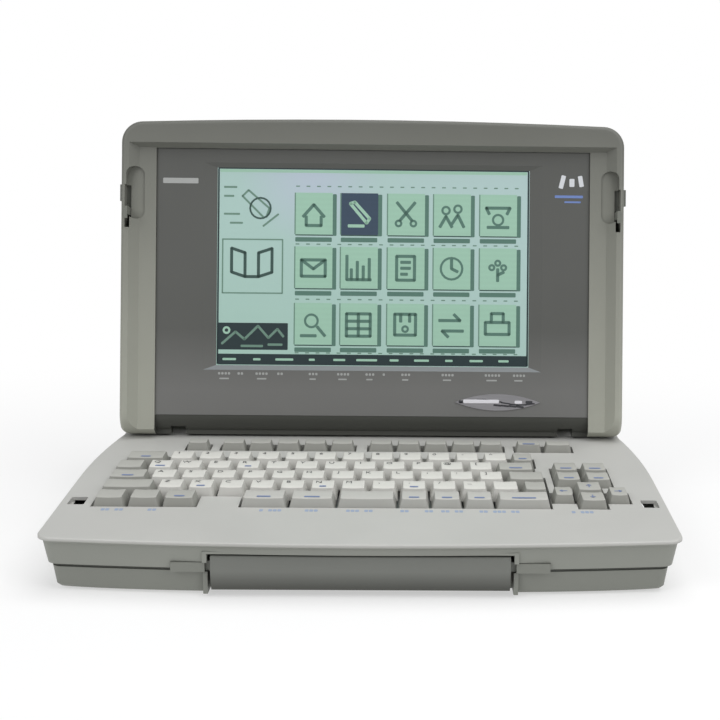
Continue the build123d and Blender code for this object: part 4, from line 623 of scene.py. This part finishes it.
# Paler towards the foot as painted light, darker up to the rim as painted shade
frame_painted_shading = moulded("moulded ABS, lid frame, painted light and shade", "#A3A499", gloss=0.46, top="#6A6B65", span=(0.06, 0.25))
dress(nodes["lid_frame"], frame_painted_shading, edge=0.0003)

# The lid's plane starts at the hinge and leans back 11.2 degrees from upright
LID_AT = (0, 0.050941, 0.057946)
LID_TILT = math.radians(90 - 11.2)


def tone(obj, material, side, low, high):
    """Gives a second material to the faces that do not look backward, no further than side from the lid's
    middle and between two heights on its plane."""
    obj.data.materials.append(material)
    to_lid = (Matrix.Translation(LID_AT) @ Matrix.Rotation(LID_TILT, 4, "X")).inverted()
    for face in obj.data.polygons:
        place = to_lid @ face.center
        forward = (to_lid.to_3x3() @ face.normal).z
        if abs(place.x) < side and low < place.y < high and forward > -0.3:
            face.material_index = 1


# The bar under the display lies in the dark between the lid and the keyboard, so its faces on the frame and
# the back shell are painted dark: painted shade
foot_painted_shade = moulded("moulded ABS, painted shade on the lid's foot", "#464742", gloss=0.55)
for name in ("lid_frame", "lid_back_shell"):
    tone(nodes[name], foot_painted_shade, side=0.1452, low=-0.02, high=0.012)

# ---------------------------------------------------------------- display panel
# The dark bezel plate is a separate ABS moulding with a finer, duller grain, framed by the rails. Light
# bars and dashes, a small white sign and two blue lines are screen-printed on it.
# The panel runs from a paler grey at its foot to a darker one higher up: painted light and shade
panel_painted_shading = moulded(
    "moulded ABS, dark grey, painted light and shade", "#727270", gloss=0.55, grain=0.04, top="#595A57", span=(0.075, 0.115)
)
dress(nodes["display_panel"], panel_painted_shading, edge=0.0002)
# The sill under the screen catches the display's light, which is painted on it as a lighter grey: a painted
# highlight
sill_highlight = moulded("moulded ABS, grey sill, painted highlight", "#808587", gloss=0.5)
tone(nodes["display_panel"], sill_highlight, side=0.112, low=0.0292, high=0.0328)
light_ink = ink("screen-printed ink, light grey", "#A5A7A5")
# The panel's face above the lid's plane, and the tops of the prints on it, in millimetres
FACE = 7.5
THIN_PRINT = FACE + 0.06
PRINT = FACE + 0.08
DASH_STEP = 2.2
panel_marks = [dash(-129.0, 155.6, 23.5, 3.6, FACE, PRINT)]
for x, width in (
    (-99, 9), (-88, 5), (-74, 9), (-62, 4), (-40, 6), (-20, 8),
    (-2, 6), (8, 3), (22, 6), (50, 8), (80, 10), (98, 8),
):
    for k in range(max(1, round(width / DASH_STEP))):
        across = x + (k + 0.5) * DASH_STEP - width / 2
        panel_marks.append(dash(across, 27.0, 1.5, 1.6, FACE, THIN_PRINT))
    if width > 5:
        panel_marks.append(dash(x, 23.6, width * 0.7, 1.0, FACE, THIN_PRINT))
legends = join(panel_marks, "panel_legends")
legends.data.materials.append(light_ink)
lay(legends, LID_AT, LID_TILT)
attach(legends, "lid")

white_ink = ink("screen-printed ink, white", "#D5D8DC")
sign_blue = ink("screen-printed ink, blue", "#6F86BE")
corner_mark = join(
    [
        dash(126.5, 157.5, 3.0, 9.0, FACE, PRINT, math.radians(-14)),
        dash(133.0, 157.0, 3.4, 5.4, FACE, PRINT),
        dash(139.0, 158.0, 3.0, 7.4, FACE, PRINT, math.radians(10)),
    ],
    "corner_mark",
)
corner_mark.data.materials.append(white_ink)
lay(corner_mark, LID_AT, LID_TILT)
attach(corner_mark, "lid")
corner_line = join(
    [dash(131.0, 147.6, 19.0, 1.8, FACE, PRINT), dash(133.5, 144.0, 11.0, 1.2, FACE, PRINT)],
    "corner_mark_line",
)
corner_line.data.materials.append(sign_blue)
lay(corner_line, LID_AT, LID_TILT)
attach(corner_line, "lid")

# ---------------------------------------------------------------- display
# A backlit monochrome liquid crystal display behind a matt front sheet. The crystal tints the light a pale
# mint that drifts to blue at the upper right, with a lavender haze at the top left, and it glows a little.
screen, tree = new_material("backlit liquid crystal, mint")
place = own_place(tree)
split = add_node(tree, "ShaderNodeSeparateXYZ", links={"Vector": place})
height = spread(tree, split.outputs["Z"], 0, 0.6, start=0.09, end=0.22)
sideways = spread(tree, split.outputs["X"], 0, 0.4, start=-0.1, end=0.1)
slant = add_node(tree, "ShaderNodeMath", {"operation": "ADD"}, {0: height, 1: sideways})
mint = blend(tree, slant.outputs[0], colour("#9CBCB0"), colour("#A9C0BF"))
HAZE_AT = (-0.042, 0.0885, 0.215)
from_haze = add_node(tree, "ShaderNodeVectorMath", {"operation": "DISTANCE", 1: HAZE_AT}, {0: place})
haze = spread(tree, from_haze.outputs["Value"], 0.8, 0, start=0.0, end=0.05)
crystal_tint = blend(tree, haze, mint, colour("#B2B7CC"))
surface(
    tree,
    {"Roughness": 0.35, "Emission Strength": 0.15},
    {"Base Color": crystal_tint, "Emission Color": crystal_tint},
)
dress(nodes["lcd_glass"], screen)


def crystal(name, code, glow):
    """Cells of the display that are switched on or left clear. The grid, really 0.3 mm, is drawn at 0.7."""
    material, tree = new_material(name)
    grid = add_node(
        tree, "ShaderNodeTexVoronoi", {"Scale": 1400.0, "Randomness": 0.0}, {"Vector": own_place(tree)}
    )
    base = colour(code)[:3]
    inner, outer = [c * 0.94 for c in base] + [1], [min(1, c * 1.05) for c in base] + [1]
    tint = blend(tree, grid.outputs["Distance"], inner, outer)
    surface(tree, {"Roughness": 0.4, "Emission Strength": glow}, {"Base Color": tint, "Emission Color": tint})
    return material


cell_dark = crystal("liquid crystal, dark cells", "#3A524D", 0.05)
cell_mid = crystal("liquid crystal, half-tone cells", "#688779", 0.1)
cell_pale = crystal("liquid crystal, clear cells", "#95BAA6", 0.15)
cell_night = crystal("liquid crystal, chosen tile", "#3A4A5C", 0.05)
# The glass above the lid's plane, and the tops of the fields, rules, shadows and strokes on it, all in mm
GLASS = 5.5
FIELD = GLASS + 0.04
RULE = GLASS + 0.05
SHADOW = GLASS + 0.06
STROKE = GLASS + 0.09
TILE_X = (-40.3, -9.8, 21.6, 52.5, 83.6)
TILE_UP = (134.7, 98.6, 60.7)
TILE_WIDTH, TILE_HEIGHT = 25.5, 28.0
pale, mid, inked, dark, chosen = [], [], [], [], []
for row in range(3):
    for column in range(5):
        x, y = TILE_X[column], TILE_UP[row]
        target = chosen if (row, column) == (0, 1) else pale
        target.append(dash(x, y, TILE_WIDTH, TILE_HEIGHT, GLASS, FIELD))
        # The tile's shadow along its right and lower sides, a thin line at its left and the bar under it
        inked.append(dash(x + TILE_WIDTH / 2 + 1.3, y - 0.8, 2.6, TILE_HEIGHT, GLASS, SHADOW))
        dark.append(dash(x + 0.5, y - TILE_HEIGHT / 2 - 0.4, TILE_WIDTH, 0.8, GLASS, RULE))
        inked.append(dash(x, y - TILE_HEIGHT / 2 - 3.4, TILE_WIDTH * 0.96, 3.0, GLASS, RULE))
        mid.append(dash(x - TILE_WIDTH / 2 + 0.3, y, 0.8, TILE_HEIGHT, GLASS, RULE))


def stroke(x1, y1, x2, y2, width=1.0):
    """A straight line of cells between two points, in millimetres on the screen."""
    length = math.hypot(x2 - x1, y2 - y1) + width * 0.6
    turn = math.atan2(y2 - y1, x2 - x1)
    return dash((x1 + x2) / 2, (y1 + y2) / 2, length, width, FIELD, STROKE, turn)


def ring(x, y, radius, width=1.5):
    """A round line of cells."""
    bpy.ops.object.select_all(action="DESELECT")
    bpy.ops.mesh.primitive_circle_add(
        vertices=20, radius=radius / 1000, fill_type="NGON", location=(x / 1000, y / 1000, FIELD / 1000)
    )
    piece = bpy.context.object
    edit(piece)
    bpy.ops.mesh.select_all(action="SELECT")
    bpy.ops.mesh.inset(thickness=width / 1000, depth=0)
    bpy.ops.mesh.delete(type="FACE")
    bpy.ops.mesh.select_all(action="SELECT")
    bpy.ops.mesh.extrude_region_move(TRANSFORM_OT_translate={"value": (0, 0, 0.00005)})
    done()
    return piece


# Plain pictograms of office work: each is a list of lines (x1, y1, x2, y2) and rings (x, y, radius)
house = [(-7, -2, 0, 6), (0, 6, 7, -2), (-5, -2, -5, -8), (5, -2, 5, -8), (-5, -8, 5, -8)]
pencil = [(-6, 7, 5, -6), (-3, 8, 7, -3), (5, -6, 7, -3), (-6, 7, -3, 8), (-7, -8, 3, -8)]
page = [
    (-6, 8, 6, 8), (-6, -8, 6, -8), (-6, 8, -6, -8), (6, 8, 6, -8),
    (-3, 4, 3, 4), (-3, 0, 3, 0), (-3, -4, 1, -4),
]
clock = [(0, 0, 0, 6), (0, 0, 4, -2), (0, 0, 8)]
envelope = [(-8, 5, 8, 5), (-8, -6, 8, -6), (-8, 5, -8, -6), (8, 5, 8, -6), (-8, 5, 0, -1), (0, -1, 8, 5)]
chart = [(-8, -8, 8, -8), (-8, -8, -8, 8), (-5, -8, -5, -1), (-1, -8, -1, 4), (3, -8, 3, 1), (7, -8, 7, 6)]
people = [(-4, 3, 3.2), (4, 4, 3.2), (-8, -8, -4, -1), (-4, -1, 0, -8), (0, -6, 4, 0), (4, 0, 8, -8)]
telephone = [(-8, 5, 8, 5), (-8, 5, -6, 1), (8, 5, 6, 1), (0, -3, 4.2), (-7, -8, 7, -8)]
scissors = [(-6, 8, 4, -4), (6, 8, -4, -4), (-5, -6, 2.6), (5, -6, 2.6)]
flower = [(0, 4, 2.4), (-4, 1, 2.4), (4, 1, 2.4), (0, 0, 0, -8), (0, -4, 4, -2)]
table = [
    (-8, 7, 8, 7), (-8, 2, 8, 2), (-8, -3, 8, -3), (-8, -8, 8, -8),
    (-8, 7, -8, -8), (0, 7, 0, -8), (8, 7, 8, -8),
]
disk = [
    (-7, 7, 7, 7), (-7, -7, 7, -7), (-7, 7, -7, -7), (7, 7, 7, -7),
    (-3, 7, -3, 2), (3, 7, 3, 2), (0, -3, 2.6),
]
glass_lens = [(-1, 2, 5), (3, -2, 8, -8), (-8, -8, 2, -8)]
arrows = [(-8, 3, 6, 3), (6, 3, 2, 7), (8, -4, -6, -4), (-6, -4, -2, -8)]
printer = [
    (-8, 2, 8, 2), (-8, -6, 8, -6), (-8, 2, -8, -6), (8, 2, 8, -6),
    (-4, 2, -4, 8), (4, 2, 4, 8), (-4, 8, 4, 8),
]
pictograms = [
    house, pencil, scissors, people, telephone, envelope, chart, page, clock, flower, glass_lens, table, disk,
    arrows, printer,
]
for k, drawing in enumerate(pictograms):
    x, y = TILE_X[k % 5], TILE_UP[k // 5]
    for line in drawing:
        if len(line) == 3:
            made = ring(x + line[0], y + line[1], line[2])
        else:
            made = stroke(x + line[0], y + line[1], x + line[2], y + line[3], 2.1)
        (pale if k == 1 else inked).append(made)

# The panel at the left: a ruled box with a large plain emblem, a small sketch above it and a view below
for x1, y1, x2, y2 in (
    (-101, 117, -61, 117), (-101, 81, -61, 81), (-101, 117, -101, 81), (-61, 117, -61, 81),
):
    mid.append(stroke(x1, y1, x2, y2, 0.9))
for x1, y1, x2, y2 in (
    (-95, 95, -95, 111), (-95, 111, -86, 108), (-86, 108, -86, 92), (-95, 95, -86, 92), (-77, 92, -77, 108),
    (-77, 108, -68, 111), (-68, 111, -68, 95), (-77, 92, -68, 95), (-86, 92, -77, 92),
):
    dark.append(stroke(x1, y1, x2, y2, 2.0))
for x1, y1, x2, y2 in (
    (-84, 150, -70, 138), (-70, 138, -72, 132), (-84, 150, -88, 146), (-88, 146, -74, 132),
    (-74, 126, -64, 134), (-100, 152, -92, 152), (-100, 146, -94, 146), (-100, 134, -90, 134),
    (-96, 128, -88, 128),
):
    mid.append(stroke(x1, y1, x2, y2, 1.3))
dark.append(ring(-76, 138, 7.5, 1.2))
night = [dash(-80.5, 52.0, 47.0, 18.0, GLASS, FIELD)]
for x1, y1, x2, y2 in (
    (-101, 47, -92, 55), (-92, 55, -86, 50), (-86, 50, -77, 59), (-77, 59, -70, 51), (-70, 51, -64, 57),
    (-64, 57, -60, 52), (-88, 45.5, -74, 45.5), (-70, 46.5, -61, 46.5),
):
    mid.append(stroke(x1, y1, x2, y2, 1.6))
pale.append(ring(-98, 56, 2.6, 1.4))
# Dotted rules between the rows, a bright line along the top, the dark line of prompts along the foot, and
# the thin dark border of the cells
PROMPTS_UP = 36.6
for up in (154.0, 115.2, 78.2, 42.2):
    for k in range(22):
        mid.append(dash(-51 + 7 * k, up - 1.0, 2.6, 0.8, GLASS, RULE))
pale.append(dash(0, 163.0, 206, 2.0, GLASS, RULE))
for x, y, width, height in ((0, 164.7, 208.6, 1.1), (-103.9, 98.8, 1.1, 131.0), (103.9, 98.8, 1.1, 131.0)):
    night.append(dash(x, y, width, height, GLASS, FIELD))
night.append(dash(0, PROMPTS_UP, 208.0, 7.2, GLASS, FIELD))
for k, width in enumerate((9, 5, 12, 4, 8, 14, 6, 10, 5, 9, 7)):
    pale.append(dash(-96 + 18.4 * k, PROMPTS_UP, width, 1.5, FIELD, STROKE))
for name, pieces, material in (
    ("picture_clear_cells", pale, cell_pale),
    ("picture_half_tones", mid, cell_mid),
    ("picture_drawings", inked, crystal("liquid crystal, drawings", "#54766A", 0.08)),
    ("picture_dark_cells", dark, cell_dark),
    ("picture_chosen_tile", chosen, cell_night),
    ("picture_dark_fields", night, crystal("liquid crystal, dark fields", "#243437", 0.03)),
):
    picture = join(pieces, name)
    picture.data.materials.append(material)
    lay(picture, LID_AT, LID_TILT)
    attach(picture, "lid")

# ---------------------------------------------------------------- badge
# A lens-shaped aluminium badge, embossed from foil-backed sheet and glued to the panel. Two dark ridges and
# two white streaks run along it, with a dark dash at each end; the white streaks are a painted highlight.
foil, tree = new_material("satin aluminium badge")
# The satin finish streaks the reflection along the badge
drawn = add_node(tree, "ShaderNodeMapping", {"Scale": (60.0, 1400.0, 1400.0)}, {"Vector": own_place(tree)})
hair = noise(tree, drawn.outputs[0], scale=1.0, detail=2.0)
surface(
    tree,
    {"Base Color": colour("#C2C0C3"), "Metallic": 1.0},
    {"Roughness": spread(tree, hair, 0.22, 0.42)},
)
dress(nodes["badge"], foil, edge=0.0003)
# The badge's face above the lid's plane, and the tops of the ridges and the painted highlight, in millimetres
FOIL = FACE + 0.5
RIDGE = FACE + 0.72
HIGHLIGHT_TOP = FACE + 0.8
ridges = []
for k in range(9):
    swing = k * 0.7
    turn = math.radians(9 * math.cos(swing))
    ridges.append(dash(62 + 5.5 * k, 9.0 + 1.6 * math.sin(swing), 6.2, 1.0, FOIL, RIDGE, turn))
for k in range(4):
    ridges.append(dash(84 + 5.0 * k, 7.0 - 0.3 * k, 5.4, 1.3, FOIL, RIDGE, math.radians(-6)))
for x, width in ((59.6, 3.4), (105.2, 4.6)):
    ridges.append(dash(x, 9.2, width, 1.9, FOIL, RIDGE))
# A painted highlight: two white streaks where the badge's shine falls
streak = join(
    [dash(73.0, 9.6, 24.0, 2.4, FOIL, HIGHLIGHT_TOP), dash(98.0, 9.2, 5.0, 2.0, FOIL, HIGHLIGHT_TOP)], "badge_painted_highlight"
)
streak.data.materials.append(ink("badge, painted white highlight", "#E4E3E8"))
lay(streak, LID_AT, LID_TILT)
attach(streak, "lid")
ridge = join(ridges, "badge_ridges")
ridge.data.materials.append(ink("badge ridges, dark lacquer", "#3B3B3F"))
lay(ridge, LID_AT, LID_TILT)
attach(ridge, "lid")

# ---------------------------------------------------------------- latches
# Each latch is a sliding acetal moulding inside a rail. Its thumb nub stands out of the lid's side, and its
# hook passes down through the deck when the lid is shut.
latch_plastic = moulded("moulded acetal, mid grey", "#74766F", gloss=0.35, grain=0.02)
for name in ("left_latch", "right_latch"):
    dress(nodes[name], latch_plastic, edge=0.0004)

# ---------------------------------------------------------------- carrying handle
# The grip is a hollow moulding in a darker grey that lies in the alcove at the front, painted darkest
# below as painted shade on its underside. Two stiff arms carry it and slide in the case; the blocks at its
# ends are the arms' heads.
grip_plastic_with_painted_shade = moulded(
    "moulded ABS, handle grey", "#4C4D48", gloss=0.5, grain=0.06, top="#72746F", span=(0.006, 0.016)
)
dress(nodes["handle_grip"], grip_plastic_with_painted_shade, edge=0.0005)
dress(nodes["handle_straps"], moulded("moulded nylon, handle arms", "#7C7E77", gloss=0.4), edge=0.0005)

# ---------------------------------------------------------------- feet, roller and belt
# The feet are pads of black rubber stuck into the base. The printer's platen is a ground rubber sleeve, and
# its carriage is drawn by a rubber belt.


def rubber(name, code, rough=0.75):
    """Vulcanised rubber: dull, with the talc of the mould as a faint pale bloom."""
    material, tree = new_material(name)
    bloom = noise(tree, own_place(tree), scale=140.0, detail=4.0)
    base = colour(code)
    tint = blend(tree, bloom, base, [c * 1.5 for c in base[:3]] + [1])
    surface(tree, {"Roughness": rough, "Specular IOR Level": 0.25}, {"Base Color": tint})
    return material


dress(nodes["rubber_feet"], rubber("moulded rubber, black", "#26262A"), edge=0.0003)
dress(nodes["platen_roller"], rubber("ground rubber sleeve", "#333338", 0.6), edge=0.0002)
dress(nodes["drive_belt"], rubber("moulded rubber belt", "#232326"))

# ---------------------------------------------------------------- shafts, motors, hinges and screws
# Ground and plated steel: the guide and platen shafts, the two motor cans, the hinge brackets and leaves,
# and the case screws.


def steel(name, code, rough):
    """Machined or drawn steel: fine turning marks make the shine uneven. They are drawn 1.2 mm apart, wider
    than the real ones, so that they show at this distance."""
    material, tree = new_material(name)
    turning = add_node(
        tree,
        "ShaderNodeTexWave",
        {"wave_type": "BANDS", "bands_direction": "X", "Scale": 260.0, "Distortion": 1.0},
        {"Vector": own_place(tree)},
    )
    shine = spread(tree, turning.outputs[1], rough - 0.06, rough + 0.08)
    surface(tree, {"Base Color": colour(code), "Metallic": 1.0}, {"Roughness": shine})
    return material


bright = steel("ground steel", "#B4B6B8", 0.22)
for name in ("guide_shaft", "platen_shaft"):
    dress(nodes[name], bright, edge=0.0002)
plated = steel("nickel-plated steel", "#9B9C9C", 0.35)
for name in ("feed_motor", "carriage_motor", "case_screws"):
    dress(nodes[name], plated, edge=0.0002)
blackened = steel("blackened steel hinge", "#3A3B3C", 0.42)
for name in ("hinge_brackets", "hinge_leaves"):
    dress(nodes[name], blackened, edge=0.0002)
dress(nodes["platen_bushes"], steel("sintered bronze", "#8C6B3E", 0.45), edge=0.0002)

# ---------------------------------------------------------------- gears
# The platen gear and the motor's pinion are moulded in natural acetal, which is slightly waxy and lets a
# little light into the teeth.


def waxy(name, code):
    """Natural acetal: light goes a little way in, so edges look soft."""
    material, tree = new_material(name)
    flow = noise(tree, own_place(tree), scale=260.0, detail=2.0)
    surface(
        tree,
        {"Base Color": colour(code), "Subsurface Weight": 0.3, "Subsurface Scale": 0.0015},
        {"Roughness": spread(tree, flow, 0.3, 0.42)},
    )
    return material


acetal = waxy("moulded acetal, natural", "#D8D5C6")
for name in ("platen_gear", "feed_pinion"):
    dress(nodes[name], acetal)

# ---------------------------------------------------------------- printer mechanism and small controls
# Black ABS mouldings: the carriage with its thermal head and ribbon cassette, the feed knob, the power
# switch, the contrast dial, the disk drive with its front and the power socket. The drive's button is grey.
black_plastic = moulded("moulded ABS, black", "#2B2C2E", gloss=0.42, grain=0.05)
for name in (
    "print_carriage", "thermal_head", "ribbon_cassette", "feed_knob", "power_switch", "contrast_dial",
    "floppy_drive", "dc_jack",
):
    dress(nodes[name], black_plastic, edge=0.0002)
dress(nodes["eject_button"], case_plastic, edge=0.0003)

# ---------------------------------------------------------------- circuit boards and lamp
# The main board and the lamp's inverter are fibreglass boards under green solder mask. The lamp is a thin
# cold-cathode tube.
board, tree = new_material("fibreglass board, green solder mask")
# Copper under the mask shows as a slightly lighter net of tracks, about 4 mm apart one way and 2 the other
net = add_node(
    tree,
    "ShaderNodeTexBrick",
    {
        "Color1": colour("#1F5A38"),
        "Color2": colour("#1B5233"),
        "Mortar": colour("#2F7A4E"),
        "Scale": 120.0,
        "Mortar Size": 0.03,
    },
    {"Vector": own_place(tree)},
)
surface(tree, {"Roughness": 0.28}, {"Base Color": net.outputs[0]})
for name in ("main_board", "inverter_board"):
    dress(nodes[name], board, edge=0.0001)
tube, tree = new_material("fluorescent lamp tube")
# The phosphor glows evenly, and the glass is smooth
phosphor = noise(tree, own_place(tree), scale=60.0, detail=2.0)
milky = blend(tree, phosphor, colour("#F2F4EE"), colour("#FAFBF8"))
surface(
    tree,
    {"Roughness": 0.1, "Emission Strength": 0.6},
    {"Base Color": milky, "Emission Color": milky},
)
dress(nodes["backlight_lamp"], tube)
